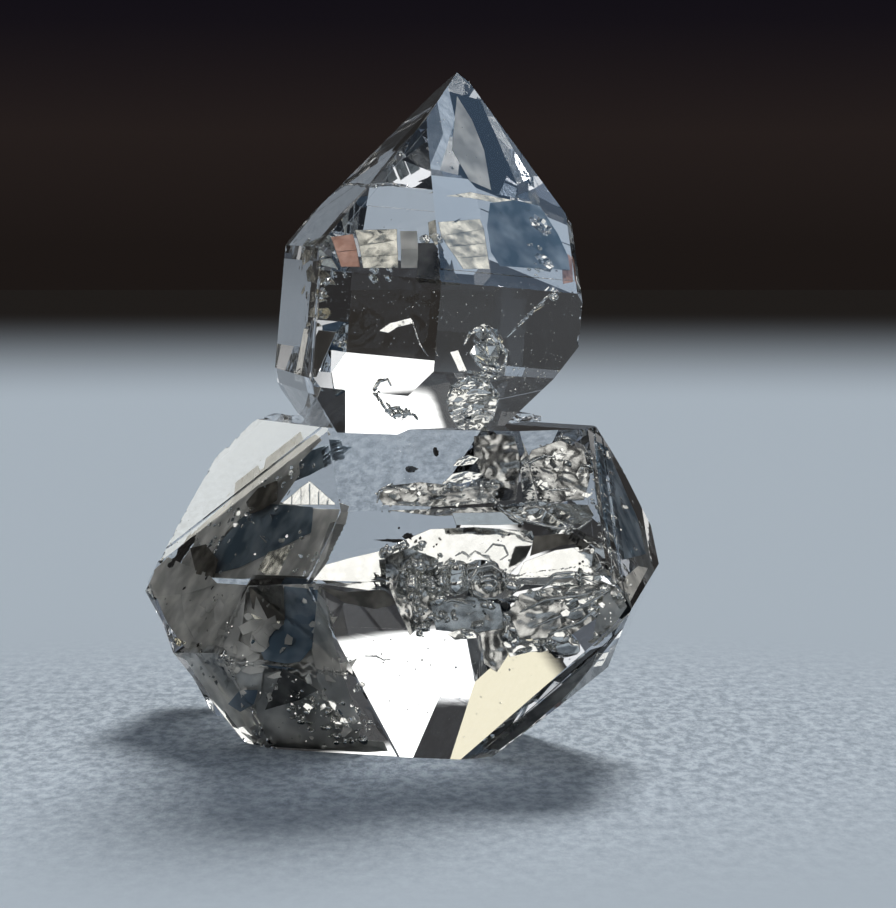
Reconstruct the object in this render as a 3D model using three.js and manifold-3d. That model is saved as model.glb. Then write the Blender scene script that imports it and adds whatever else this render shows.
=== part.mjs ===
// A doubly terminated quartz crystal (a Herkimer diamond) that stands on the blunt top of a larger one.
// The two grew together, so they are one solid. Millimetres, +Z up, the resting face at z = 0.

import * as THREE from 'three';
import { mergeVertices } from 'three/addons/utils/BufferGeometryUtils.js';
import Module from 'manifold-3d';

const wasm = await Module();
wasm.setup();

// ----------------------------------------------------------------------------------------------------
// Driving dimensions
// ----------------------------------------------------------------------------------------------------

// Quartz habit. A polar angle is the angle between a face's normal and the crystal's long axis.
const PRISM_POLAR = 90;
const RHOMB_POLAR = 51.8;
const TRAPEZOID_POLAR = 65.5;
const FAR_RHOMB_POLAR = 180 - RHOMB_POLAR;

// Side of the blocks that cut the faces.
const BLOCK_SIZE = 60;

// Corners that lie closer together than this are one corner.
const MERGE_DISTANCE = 1e-5;

// The multiplier and the modulus of the repeatable source of numbers.
const RANDOM_MULTIPLIER = 16807;
const RANDOM_MODULUS = 2147483647;

// The upper crystal stands on its end and leans five degrees to the right.
const UPPER = {
  centre: new THREE.Vector3(1.18, 5.03, 14.44),
  heading: 0,
  rise: 85,
  roll: 12,
  faces: {
    ...sector({ azimuth: 30, near: 6.3, prism: 6.35, far: 6.4 }),
    leftBevel: { azimuth: 60, polar: PRISM_POLAR, distance: 6.05 },
    ...sector({ azimuth: 90, near: 5.45, prism: 5.19, far: 5.67 }),
    ...sector({ azimuth: 150, near: 6.33, prism: 6.92, far: 7.01 }),
    ...sector({ azimuth: 210, near: 5.21, prism: 5.5, far: 5.33 }),
    ...sector({ azimuth: 270, near: 5.78, prism: 4.38, far: 3.73 }),
    ...sector({ azimuth: 330, near: 5.91, prism: 6.2, far: 5.8 }),
  },
  trims: [
    { azimuth: 240, polar: TRAPEZOID_POLAR, inset: 0.16 },
    { azimuth: 60, polar: TRAPEZOID_POLAR, inset: 0.24 },
    { azimuth: 90, polar: 110, inset: 0.1 },
  ],
};

// The lower crystal lies on its side, with one point towards the front right.
const LOWER = {
  centre: new THREE.Vector3(0, 1, 6),
  heading: -57.8,
  rise: 5.7,
  roll: -1.7,
  faces: {
    ...sector({ azimuth: 30, near: 8.04, nearPolar: 47.5, prism: 7.6, far: 10.6 }),
    ...sector({ azimuth: 90, near: 6.6, far: 8.96 }),
    ...sector({ azimuth: 150, near: 5.8, prism: 4.66, far: 8.92 }),
    ...sector({ azimuth: 210, near: 6.27, prism: 5.26, far: 9.68 }),
    ...sector({ azimuth: 270, near: 8.26, far: 9.31 }),
    ...sector({ azimuth: 330, prism: 6.48, far: 8.07 }),
    frontTrapezoid: { azimuth: 120, polar: TRAPEZOID_POLAR, distance: 4.8 },
    rightTrapezoid: { azimuth: 0, polar: 74.5, distance: 8.8 },
    backShoulder: { azimuth: 36.6, polar: 63.6, distance: 8.28 },
    leftShoulder: { azimuth: 143.9, polar: 93.7, distance: 4.96 },
    rightFlank: { azimuth: 328, polar: 57, distance: 8.1 },
    belly: { azimuth: 301.3, polar: 70.7, distance: 7.07 },
  },
  trims: [
    { azimuth: 210, polar: 112, inset: 0.15 },
    { azimuth: 150, polar: 112, inset: 0.05 },
    { azimuth: 300, polar: 58, inset: 0.3 },
  ],
};

// A low second growth at the left foot of the lower crystal. It shares its other faces, and starts inside it.
const FOOT = {
  ...LOWER,
  faces: {
    ...LOWER.faces,
    ...sector({ azimuth: 30, prism: -4.25 }),
    ...sector({ azimuth: 150, near: 3.29 }),
    ...sector({ azimuth: 210, prism: 7.5 }),
    steepRhomb: { azimuth: 210, polar: 58, distance: 6.2 },
    heel: { azimuth: 226, polar: 120.6, distance: 7.89 },
  },
  trims: [],
};

// Heights of the resting face and of the blunt top of the lower crystal.
const FLOOR = { normal: new THREE.Vector3(0, 0, -1), point: new THREE.Vector3(0, 0, 0) };
const BLUNT_TOP = { normal: new THREE.Vector3(0, 0, 1), point: new THREE.Vector3(0, 0, 10.78) };

// ----------------------------------------------------------------------------------------------------
// Crystal faces
// ----------------------------------------------------------------------------------------------------

/** The faces of one sixth of a crystal: near rhomb, prism face and far rhomb. */
function sector({ azimuth, near, nearPolar = RHOMB_POLAR, prism, far }) {
  const faces = {};
  if (near !== undefined) {
    faces[`near${azimuth}`] = { azimuth, polar: nearPolar, distance: near };
  }
  if (prism !== undefined) {
    faces[`prism${azimuth}`] = { azimuth, polar: PRISM_POLAR, distance: prism };
  }
  if (far !== undefined) {
    faces[`far${azimuth}`] = { azimuth, polar: FAR_RHOMB_POLAR, distance: far };
  }
  return faces;
}

/** The long axis of a crystal, and the two directions across it that its azimuths are measured from. */
function crystalFrame({ heading, rise, roll }) {
  const headingAngle = THREE.MathUtils.degToRad(heading);
  const riseAngle = THREE.MathUtils.degToRad(rise);
  const axis = new THREE.Vector3(
    Math.cos(riseAngle) * Math.cos(headingAngle),
    Math.cos(riseAngle) * Math.sin(headingAngle),
    Math.sin(riseAngle),
  );
  const zero = new THREE.Vector3(-Math.sin(headingAngle), Math.cos(headingAngle), 0);
  zero.applyAxisAngle(axis, THREE.MathUtils.degToRad(roll));
  const quarter = new THREE.Vector3().crossVectors(axis, zero);
  return { axis, zero, quarter };
}

/** The outward normal of a crystal face. */
function faceNormal(habit, { azimuth, polar }) {
  const frame = crystalFrame(habit);
  const azimuthAngle = THREE.MathUtils.degToRad(azimuth);
  const polarAngle = THREE.MathUtils.degToRad(polar);
  return new THREE.Vector3()
    .addScaledVector(frame.zero, Math.sin(polarAngle) * Math.cos(azimuthAngle))
    .addScaledVector(frame.quarter, Math.sin(polarAngle) * Math.sin(azimuthAngle))
    .addScaledVector(frame.axis, Math.cos(polarAngle));
}

/** The plane of a named face: its outward normal and the foot of the crystal's centre on it. */
function facePlane(habit, name) {
  const face = habit.faces[name];
  const normal = faceNormal(habit, face);
  const point = habit.centre.clone().addScaledVector(normal, face.distance);
  return { normal, point };
}

/** The point where three planes meet. */
function corner(...planes) {
  const [a, b, c] = planes.map((plane) => plane.normal);
  const rows = new THREE.Matrix3().set(a.x, a.y, a.z, b.x, b.y, b.z, c.x, c.y, c.z);
  const distances = new THREE.Vector3(...planes.map((plane) => plane.normal.dot(plane.point)));
  return distances.applyMatrix3(rows.invert());
}

// ----------------------------------------------------------------------------------------------------
// Solids
// ----------------------------------------------------------------------------------------------------

/** Turns a closed three.js geometry into a solid that can be joined and cut. */
function solidFrom(geometry, matrix) {
  const placed = geometry.clone().applyMatrix4(matrix);
  placed.deleteAttribute('normal');
  placed.deleteAttribute('uv');
  const merged = mergeVertices(placed, MERGE_DISTANCE);
  return new wasm.Manifold(new wasm.Mesh({
    numProp: 3,
    vertProperties: Float32Array.from(merged.attributes.position.array),
    triVerts: Uint32Array.from(merged.index.array),
  }));
}

/** Turns a solid back into a three.js geometry. */
function geometryFrom(solid) {
  const mesh = solid.getMesh();
  const geometry = new THREE.BufferGeometry();
  geometry.setAttribute('position', new THREE.BufferAttribute(mesh.vertProperties, 3));
  geometry.setIndex(new THREE.BufferAttribute(mesh.triVerts, 1));
  geometry.computeVertexNormals();
  return geometry;
}

/** A block that fills everything beyond the plane through a point, on the side that the normal points to. */
function beyond({ normal, point }) {
  const turn = new THREE.Quaternion().setFromUnitVectors(new THREE.Vector3(0, 0, 1), normal);
  const centre = point.clone().addScaledVector(normal, BLOCK_SIZE / 2);
  const matrix = new THREE.Matrix4().compose(centre, turn, new THREE.Vector3(1, 1, 1));
  return solidFrom(new THREE.BoxGeometry(2 * BLOCK_SIZE, 2 * BLOCK_SIZE, BLOCK_SIZE), matrix);
}

/** How far a solid reaches along a direction, from the origin. */
function reach(solid, direction) {
  const positions = new THREE.BufferAttribute(solid.getMesh().vertProperties, 3);
  const vertex = new THREE.Vector3();
  let farthest = -Infinity;
  for (let index = 0; index < positions.count; index += 1) {
    vertex.fromBufferAttribute(positions, index);
    farthest = Math.max(farthest, vertex.dot(direction));
  }
  return farthest;
}

/** A crystal, cut from a block by the plane of each face. Trims then cut back a corner or an edge. */
function crystal(habit) {
  const { x, y, z } = habit.centre;
  const blank = new THREE.BoxGeometry(BLOCK_SIZE / 2, BLOCK_SIZE / 2, BLOCK_SIZE / 2);
  let solid = solidFrom(blank, new THREE.Matrix4().makeTranslation(x, y, z));
  for (const name of Object.keys(habit.faces)) {
    solid = solid.subtract(beyond(facePlane(habit, name)));
  }
  for (const trim of habit.trims) {
    const normal = faceNormal(habit, trim);
    const point = normal.clone().multiplyScalar(reach(solid, normal) - trim.inset);
    solid = solid.subtract(beyond({ normal, point }));
  }
  return solid;
}

// ----------------------------------------------------------------------------------------------------
// Growth steps, pits, chips and lumps
// ----------------------------------------------------------------------------------------------------

/** A repeatable source of numbers between 0 and 1. */
function seededRandom(seed) {
  let state = seed;
  return () => {
    state = (state * RANDOM_MULTIPLIER) % RANDOM_MODULUS;
    return state / RANDOM_MODULUS;
  };
}

/** A turn about a direction that the random source picks. */
function randomTurn(random) {
  const angles = new THREE.Euler(random() * Math.PI, random() * Math.PI, random() * Math.PI);
  return new THREE.Quaternion().setFromEuler(angles);
}

/** Leaves a growth step: lowers the strip of a face within a width of its edge with a neighbour. */
function growthStep(solid, habit, { face, neighbour, width, depth }) {
  const plane = facePlane(habit, face);
  const other = facePlane(habit, neighbour);
  const along = new THREE.Vector3().crossVectors(plane.normal, other.normal).normalize();
  const inward = new THREE.Vector3().crossVectors(plane.normal, along).normalize();
  const toOther = other.point.clone().sub(plane.point).dot(other.normal);
  const centre = plane.point.clone()
    .addScaledVector(inward, toOther / inward.dot(other.normal))
    .addScaledVector(inward, width - BLOCK_SIZE / 2)
    .addScaledVector(plane.normal, BLOCK_SIZE / 2 - depth);
  const matrix = new THREE.Matrix4().makeBasis(along, inward, plane.normal).setPosition(centre);
  return solid.subtract(solidFrom(new THREE.BoxGeometry(BLOCK_SIZE, BLOCK_SIZE, BLOCK_SIZE), matrix));
}

/** Three-sided etch pits, spread over a face around a point near it and turned alike. */
function etchPits(solid, plane, { around, spread, count, radius, depth, seed }) {
  const random = seededRandom(seed);
  const turn = new THREE.Quaternion().setFromUnitVectors(new THREE.Vector3(0, -1, 0), plane.normal);
  const side = new THREE.Vector3(1, 0, 0).applyQuaternion(turn);
  const rise = new THREE.Vector3(0, 0, 1).applyQuaternion(turn);
  let pitted = solid;
  for (let index = 0; index < count; index += 1) {
    const size = radius * (0.5 + random());
    const spot = new THREE.Vector3(...around)
      .addScaledVector(side, spread * (random() - 0.5))
      .addScaledVector(rise, spread * (random() - 0.5));
    spot.addScaledVector(plane.normal, plane.point.clone().sub(spot).dot(plane.normal));
    const matrix = new THREE.Matrix4().compose(spot, turn, new THREE.Vector3(size, depth, size));
    pitted = pitted.subtract(solidFrom(new THREE.ConeGeometry(1, 2, 3), matrix));
  }
  return pitted;
}

/** Small shell-shaped chips, knocked out of a solid along the line between two points. */
function edgeChips(solid, { from, to, count, size, seed }) {
  const random = seededRandom(seed);
  let chipped = solid;
  for (let index = 0; index < count; index += 1) {
    const spot = from.clone().lerp(to, random());
    const radius = size * (0.6 + random());
    const scale = new THREE.Vector3(radius, radius, radius * 0.6);
    const jitter = new THREE.Vector3(random() - 0.5, random() - 0.5, random() - 0.5);
    spot.addScaledVector(jitter, size / 2);
    const matrix = new THREE.Matrix4().compose(spot, randomTurn(random), scale);
    chipped = chipped.subtract(solidFrom(new THREE.IcosahedronGeometry(1), matrix));
  }
  return chipped;
}

/** A low rough ridge of blunt lumps along the line between two points. */
function lumpyRidge(solid, { from, to, count, size, seed }) {
  const random = seededRandom(seed);
  const heading = Math.atan2(to.y - from.y, to.x - from.x);
  let lumpy = solid;
  for (let index = 0; index < count; index += 1) {
    const spot = from.clone().lerp(to, (index + random()) / count);
    const scale = new THREE.Vector3(2 + 2 * random(), 1.2 + 0.6 * random(), 0.7 + 0.6 * random());
    const turn = new THREE.Quaternion().setFromAxisAngle(BLUNT_TOP.normal, heading + 0.5 * (random() - 0.5));
    const matrix = new THREE.Matrix4().compose(spot, turn, scale.multiplyScalar(size));
    lumpy = lumpy.add(solidFrom(new THREE.IcosahedronGeometry(1), matrix));
  }
  return lumpy;
}

// ----------------------------------------------------------------------------------------------------
// The cluster
// ----------------------------------------------------------------------------------------------------

/** The lower crystal, with its growth steps, pits and worn edges. */
function lowerCrystal() {
  const plane = (name) => facePlane(LOWER, name);
  let solid = crystal(LOWER).subtract(beyond(BLUNT_TOP));
  const steps = [
    { face: 'near30', neighbour: 'near90', width: 1.1, depth: 0.05 },
    { face: 'near30', neighbour: 'near90', width: 0.5, depth: 0.11 },
    { face: 'near90', neighbour: 'near30', width: 0.45, depth: 0.05 },
    { face: 'near270', neighbour: 'near210', width: 0.4, depth: 0.04 },
    { face: 'leftShoulder', neighbour: 'prism150', width: 0.3, depth: 0.04 },
    { face: 'far210', neighbour: 'prism210', width: 0.7, depth: 0.05 },
  ];
  for (const step of steps) {
    solid = growthStep(solid, LOWER, step);
  }
  const pits = [
    { face: 'near210', around: [1.5, -6, 2.6], spread: 3.4, count: 14, radius: 0.07, seed: 3 },
    { face: 'near150', around: [1.5, -6, 7], spread: 4.4, count: 8, radius: 0.06, seed: 5 },
    { face: 'prism150', around: [-6, -1, 7], spread: 3.6, count: 14, radius: 0.09, seed: 7 },
    { face: 'near30', around: [7.4, -4, 8], spread: 3, count: 16, radius: 0.12, seed: 9 },
    { face: 'near90', around: [5.4, -4.5, 9], spread: 2.6, count: 12, radius: 0.1, seed: 12 },
    { face: 'prism210', around: [-5, -2, 3.5], spread: 4, count: 14, radius: 0.1, seed: 14 },
  ];
  for (const pit of pits) {
    solid = etchPits(solid, plane(pit.face), { depth: 0.05, ...pit });
  }
  const leftTip = corner(plane('prism150'), plane('prism210'), plane('far210'));
  const leftHeel = corner(plane('prism210'), plane('far210'), FLOOR);
  const shoulderTop = corner(plane('leftShoulder'), plane('far90'), BLUNT_TOP);
  const shoulderBend = corner(plane('leftShoulder'), plane('far90'), plane('far150'));
  const shoulderEnd = corner(plane('leftShoulder'), plane('prism150'), plane('far150'));
  const rightTop = corner(plane('near30'), plane('backShoulder'), BLUNT_TOP);
  const rightBend = corner(plane('near30'), plane('backShoulder'), plane('rightTrapezoid'));
  const rightTip = corner(plane('near30'), plane('rightFlank'), plane('rightTrapezoid'));
  const bellyFront = corner(plane('near270'), plane('belly'), FLOOR);
  const bellyEnd = corner(plane('near270'), plane('belly'), plane('rightFlank'));
  const worn = [
    { from: leftTip, to: leftHeel, count: 16, size: 0.17, seed: 21 },
    { from: shoulderTop, to: shoulderBend, count: 7, size: 0.2, seed: 23 },
    { from: shoulderBend, to: shoulderEnd, count: 9, size: 0.14, seed: 25 },
    { from: shoulderEnd, to: leftTip, count: 6, size: 0.2, seed: 27 },
    { from: rightTop, to: rightBend, count: 9, size: 0.15, seed: 29 },
    { from: rightBend, to: rightTip, count: 6, size: 0.12, seed: 31 },
    { from: bellyFront, to: bellyEnd, count: 12, size: 0.1, seed: 33 },
  ];
  for (const line of worn) {
    solid = edgeChips(solid, line);
  }
  return solid;
}

/** The second growth at the left foot, with its pits and worn edge. */
function footGrowth() {
  const plane = (name) => facePlane(FOOT, name);
  const pits = { around: [-3.4, -3, 1.4], spread: 2.6, count: 16, radius: 0.1, depth: 0.06, seed: 71 };
  const ridgeTop = corner(plane('steepRhomb'), plane('prism210'), plane('near150'));
  const ridgeFoot = corner(plane('steepRhomb'), plane('prism210'), FLOOR);
  const heelFoot = corner(plane('heel'), plane('prism210'), FLOOR);
  let solid = crystal(FOOT);
  solid = etchPits(solid, plane('steepRhomb'), pits);
  solid = edgeChips(solid, { from: ridgeTop, to: ridgeFoot, count: 7, size: 0.12, seed: 73 });
  return edgeChips(solid, { from: heelFoot, to: ridgeFoot, count: 8, size: 0.12, seed: 75 });
}

/** The rough rim along the back of the blunt top. */
function withBackRim(solid) {
  const sunk = BLUNT_TOP.point.z - 0.04;
  const left = new THREE.Vector3(-4.6, 6.6, sunk);
  const middle = new THREE.Vector3(1, 9.8, sunk);
  const right = new THREE.Vector3(4.8, 8.4, sunk);
  const leftRim = lumpyRidge(solid, { from: left, to: middle, count: 9, size: 0.26, seed: 41 });
  return lumpyRidge(leftRim, { from: middle, to: right, count: 7, size: 0.26, seed: 43 });
}

/** The upper crystal, with its growth steps, pits and worn edges. */
function upperCrystal() {
  const plane = (name) => facePlane(UPPER, name);
  let solid = crystal(UPPER);
  const steps = [
    { face: 'near210', neighbour: 'prism210', width: 0.5, depth: 0.03 },
    { face: 'prism90', neighbour: 'prism150', width: 0.35, depth: 0.04 },
    { face: 'near150', neighbour: 'near90', width: 0.3, depth: 0.03 },
    { face: 'prism330', neighbour: 'near330', width: 0.9, depth: 0.05 },
  ];
  for (const step of steps) {
    solid = growthStep(solid, UPPER, step);
  }
  const pits = [
    { face: 'near150', around: [-1, -1, 18], spread: 4, count: 7, radius: 0.06, seed: 51 },
    { face: 'prism150', around: [-1, -2, 14], spread: 4, count: 6, radius: 0.06, seed: 53 },
    { face: 'near210', around: [3.4, 0, 18], spread: 3, count: 6, radius: 0.06, seed: 55 },
    { face: 'prism210', around: [4, 0, 14], spread: 3, count: 8, radius: 0.08, seed: 57 },
    { face: 'far210', around: [3.5, 0, 12], spread: 2.4, count: 8, radius: 0.1, seed: 59 },
  ];
  for (const pit of pits) {
    solid = etchPits(solid, plane(pit.face), { depth: 0.05, ...pit });
  }
  const leftTop = corner(plane('prism30'), plane('prism90'), plane('near90'));
  const leftFoot = corner(plane('prism30'), plane('prism90'), plane('far90'));
  const rightTop = corner(plane('prism210'), plane('prism270'), plane('near210'));
  const rightFoot = corner(plane('prism210'), plane('prism270'), plane('far210'));
  const frontTop = corner(plane('prism90'), plane('prism150'), plane('near150'));
  const worn = [
    { from: leftTop, to: leftFoot, count: 12, size: 0.13, seed: 61 },
    { from: rightTop, to: rightFoot, count: 7, size: 0.09, seed: 63 },
    { from: leftTop, to: frontTop, count: 4, size: 0.1, seed: 65 },
  ];
  for (const line of worn) {
    solid = edgeChips(solid, line);
  }
  return solid;
}

const cluster = withBackRim(lowerCrystal())
  .add(footGrowth())
  .add(upperCrystal())
  .subtract(beyond(FLOOR));

const quartz = new THREE.MeshStandardMaterial({
  color: 0xdfe4e8,
  roughness: 0.05,
  metalness: 0,
  transparent: true,
  opacity: 0.45,
  flatShading: true,
});

const crystalCluster = new THREE.Mesh(geometryFrom(cluster), quartz);
crystalCluster.name = 'crystal_cluster';

// The origin lies under the middle of the whole cluster.
crystalCluster.geometry.computeBoundingBox();
const middle = crystalCluster.geometry.boundingBox.getCenter(new THREE.Vector3());
crystalCluster.position.set(-middle.x, -middle.y, 0);

const group = new THREE.Group();
group.add(crystalCluster);

export default group;
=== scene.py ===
"""Dresses a small quartz cluster: clear crystal, what is healed into it, and a quiet studio."""

import logging
import math
import random
from dataclasses import dataclass
from enum import Enum
from functools import cache
from typing import Any, ClassVar, Sequence

import bmesh
import bpy
from mathutils import Matrix, Vector, noise
from mathutils.bvhtree import BVHTree


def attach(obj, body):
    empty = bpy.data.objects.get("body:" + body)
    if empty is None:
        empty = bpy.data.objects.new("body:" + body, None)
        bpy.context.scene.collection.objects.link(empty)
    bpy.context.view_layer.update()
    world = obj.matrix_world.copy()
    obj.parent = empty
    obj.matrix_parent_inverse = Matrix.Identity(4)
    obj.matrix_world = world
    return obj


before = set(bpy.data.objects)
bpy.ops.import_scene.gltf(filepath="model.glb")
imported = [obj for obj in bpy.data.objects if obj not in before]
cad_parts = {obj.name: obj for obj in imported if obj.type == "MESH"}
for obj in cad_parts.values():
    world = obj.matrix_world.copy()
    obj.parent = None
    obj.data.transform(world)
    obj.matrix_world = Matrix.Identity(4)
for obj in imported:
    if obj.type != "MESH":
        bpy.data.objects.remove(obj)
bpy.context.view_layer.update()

LOG = logging.getLogger("quartz_cluster")

MILLIMETRE = 0.001
CLUSTER = "crystal_cluster"
BODY = "root"

FRAME_WIDTH = 896
FRAME_HEIGHT = 908
FOCAL_PIXELS = 3000.0
SENSOR_WIDTH = 36.0

RELIEF_HEIGHT = 0.00002

Socket = bpy.types.NodeSocket
Faces = list[tuple[int, ...]]
Shape = tuple[list[Vector], Faces]


def new_object(name: str, data: bpy.types.ID) -> bpy.types.Object:
    """Puts a camera, a lamp or a mesh into the scene and returns its object."""
    made = bpy.data.objects.new(name, data)
    bpy.context.scene.collection.objects.link(made)
    return made


class Slot(Enum):
    """The record's material slots for what is inside the crystal."""

    VEIL = "veil"
    CARBON = "carbon"


@dataclass(frozen=True)
class Spot:
    """A point of the camera's frame, in pixels from its upper left corner."""

    across: float
    down: float

    def distance(self, other: "Spot") -> float:
        """Returns how far another spot lies away, in pixels."""
        return math.hypot(other.across - self.across, other.down - self.down)

    def towards(self, other: "Spot", share: float) -> "Spot":
        """Returns the spot at a share of the way to another one."""
        return Spot(self.across + (other.across - self.across) * share,
                    self.down + (other.down - self.down) * share)


def outline(*pairs: tuple[float, float]) -> tuple[Spot, ...]:
    """Returns an outline from pairs of pixels across and down."""
    return tuple(Spot(across, down) for across, down in pairs)


def walk(corners: Sequence[Spot], spacing: float, fewest: int) -> list[Spot]:
    """Walks along a path in even, close steps.

    Args:
        corners: The path's corners.
        spacing: How far apart the steps are, in pixels.
        fewest: The fewest steps from one corner to the next.

    Returns:
        The spots on the way, without the last corner.
    """
    found: list[Spot] = []
    for start, end in zip(corners, corners[1:]):
        steps = max(fewest, round(start.distance(end) / spacing))
        found.extend(start.towards(end, step / steps) for step in range(steps))
    return found


@dataclass(frozen=True)
class Tone:
    """A linear colour."""

    red: float
    green: float
    blue: float

    def rgb(self) -> tuple[float, float, float]:
        """Returns the colour as a lamp or a vector socket wants it."""
        return (self.red, self.green, self.blue)

    def rgba(self) -> tuple[float, float, float, float]:
        """Returns the colour as a colour socket wants it."""
        return (*self.rgb(), 1.0)


# ---- Shaders ----


class Wiring:
    """Adds linked nodes to one node tree."""

    def __init__(self, tree: bpy.types.NodeTree) -> None:
        """Takes over a tree and empties it."""
        tree.nodes.clear()
        self.tree = tree

    def add(self, kind: str, inputs: dict[str | int, Any] | None = None, **settings: Any) -> bpy.types.Node:
        """Adds one node.

        Args:
            kind: The node's type, without the ShaderNode that it starts with.
            inputs: What its inputs take, by name or place: a socket, a tone or a plain value.
            settings: The node's own settings.

        Returns:
            The node.
        """
        node = self.tree.nodes.new("ShaderNode" + kind)
        for name, value in settings.items():
            setattr(node, name, value)
        for name, value in (inputs or {}).items():
            if isinstance(value, Socket):
                self.tree.links.new(value, node.inputs[name])
            else:
                node.inputs[name].default_value = value.rgba() if isinstance(value, Tone) else value
        return node

    def math(self, operation: str, *values: Socket | float) -> Socket:
        """Returns what an operation makes of sockets or plain numbers."""
        return self.add("Math", dict(enumerate(values)), operation=operation).outputs[0]

    def mix(self, share: Socket, first: Socket | Tone, second: Socket | Tone) -> Socket:
        """Returns a mix of two colours, with the share of the second one."""
        inputs = {"Factor": share, "A": first, "B": second}
        return self.add("Mix", inputs, data_type="RGBA").outputs["Result"]

    def fade(self, value: Socket, none: float, full: float) -> Socket:
        """Returns a soft fade, from 0 where the value is none to 1 where it is full."""
        inputs = {"Value": value, "From Min": none, "From Max": full}
        return self.add("MapRange", inputs, interpolation_type="SMOOTHSTEP").outputs["Result"]

    def bump(self, height: Socket, strength: float, distance: float) -> Socket:
        """Returns the normals of a relief, whose full height is the distance in metres."""
        inputs = {"Height": height, "Strength": strength, "Distance": distance}
        return self.add("Bump", inputs).outputs["Normal"]


def new_material(name: str) -> tuple[bpy.types.Material, Wiring]:
    """Makes an empty node material and returns it with what adds its nodes."""
    material = bpy.data.materials.new(name)
    material.use_nodes = True
    return material, Wiring(material.node_tree)


@dataclass(frozen=True)
class GrowthRelief:
    """The fine relief of a crystal face: lines across its growth and waves, as a shared node group."""

    line_scale: float
    wave_scale: float
    line_share: float

    NAME = "growth_relief"
    STRETCH = (120.0, 120.0, 1400.0)
    PATCH_FROM = 0.38
    PATCH_TO = 0.66

    def place(self, wiring: Wiring) -> bpy.types.Node:
        """Puts the group in a material.

        Args:
            wiring: What adds the material's nodes.

        Returns:
            The group's node, whose outputs are a height and a mask.
        """
        group = bpy.data.node_groups.get(self.NAME) or self._build()
        return wiring.add("Group", {"Line scale": self.line_scale, "Wave scale": self.wave_scale,
                                    "Line share": self.line_share}, node_tree=group)

    def _build(self) -> bpy.types.NodeTree:
        """Builds the group from stretched lines and a soft waviness.

        Returns:
            The node group.
        """
        group = bpy.data.node_groups.new(self.NAME, "ShaderNodeTree")
        for way, names in (("INPUT", ("Line scale", "Wave scale", "Line share")),
                           ("OUTPUT", ("Height", "Mask"))):
            for name in names:
                group.interface.new_socket(name, in_out=way, socket_type="NodeSocketFloat")
        wiring = Wiring(group)
        entry = group.nodes.new("NodeGroupInput").outputs
        leave = group.nodes.new("NodeGroupOutput").inputs
        place = wiring.add("TexCoord").outputs["Object"]
        stretch = wiring.add("Mapping", {"Vector": place, "Scale": self.STRETCH}).outputs["Vector"]
        lines = wiring.add("TexNoise", {"Vector": stretch, "Scale": entry["Line scale"], "Detail": 3.0})
        waves = wiring.add("TexNoise", {"Vector": place, "Scale": entry["Wave scale"], "Detail": 2.0})
        blend = wiring.add("Mix", {"Factor": entry["Line share"], "A": waves.outputs["Fac"],
                                   "B": lines.outputs["Fac"]})
        patch = wiring.add("MapRange", {"Value": waves.outputs["Fac"], "From Min": self.PATCH_FROM,
                                        "From Max": self.PATCH_TO})
        group.links.new(blend.outputs["Result"], leave["Height"])
        group.links.new(patch.outputs["Result"], leave["Mask"])
        return group


@dataclass(frozen=True)
class QuartzFinish:
    """Clear colourless quartz with bright flat faces."""

    ior: float = 1.55
    tint: Tone = Tone(0.78, 0.80, 0.83)
    tint_density: float = 60.0
    relief: GrowthRelief = GrowthRelief(line_scale=1.0, wave_scale=450.0, line_share=0.55)
    relief_strength: float = 0.02

    def material(self) -> bpy.types.Material:
        """Builds the quartz.

        Returns:
            A see-through material with plain transmission, refraction and absorption.
        """
        material, wiring = new_material("quartz_clear")
        height = self.relief.place(wiring).outputs["Height"]
        quartz = wiring.add("BsdfPrincipled", {
            "Base Color": Tone(1.0, 1.0, 1.0), "IOR": self.ior, "Roughness": 0.0, "Transmission Weight": 1.0,
            "Normal": wiring.bump(height, self.relief_strength, RELIEF_HEIGHT)})
        depth = wiring.add("VolumeAbsorption", {"Color": self.tint, "Density": self.tint_density})
        wiring.add("OutputMaterial", {"Surface": quartz.outputs["BSDF"], "Volume": depth.outputs["Volume"]})
        return material


@dataclass(frozen=True)
class VeilFinish:
    """Silvery films, beads and healed fractures, which mirror the light from within the quartz."""

    name: str = "veil_silver"
    roughness: float = 0.07
    pale: Tone = Tone(0.93, 0.93, 0.90)
    deep: Tone = Tone(0.80, 0.80, 0.77)
    wave_scale: float = 2600.0

    RELIEF_STRENGTH = 0.35

    def material(self) -> bpy.types.Material:
        """Builds the film's material, once for each name.

        Returns:
            A mirror-like material with small changes of tone and a fine waviness.
        """
        made = bpy.data.materials.get(self.name)
        if made is not None:
            return made
        material, wiring = new_material(self.name)
        lines = GrowthRelief(line_scale=2.0, wave_scale=self.wave_scale, line_share=0.25)
        relief = lines.place(wiring).outputs
        film = wiring.add("BsdfPrincipled", {
            "Base Color": wiring.mix(relief["Mask"], self.deep, self.pale),
            "Metallic": 1.0, "Roughness": self.roughness,
            "Normal": wiring.bump(relief["Height"], self.RELIEF_STRENGTH, RELIEF_HEIGHT)})
        wiring.add("OutputMaterial", {"Surface": film.outputs["BSDF"]})
        return material


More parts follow.
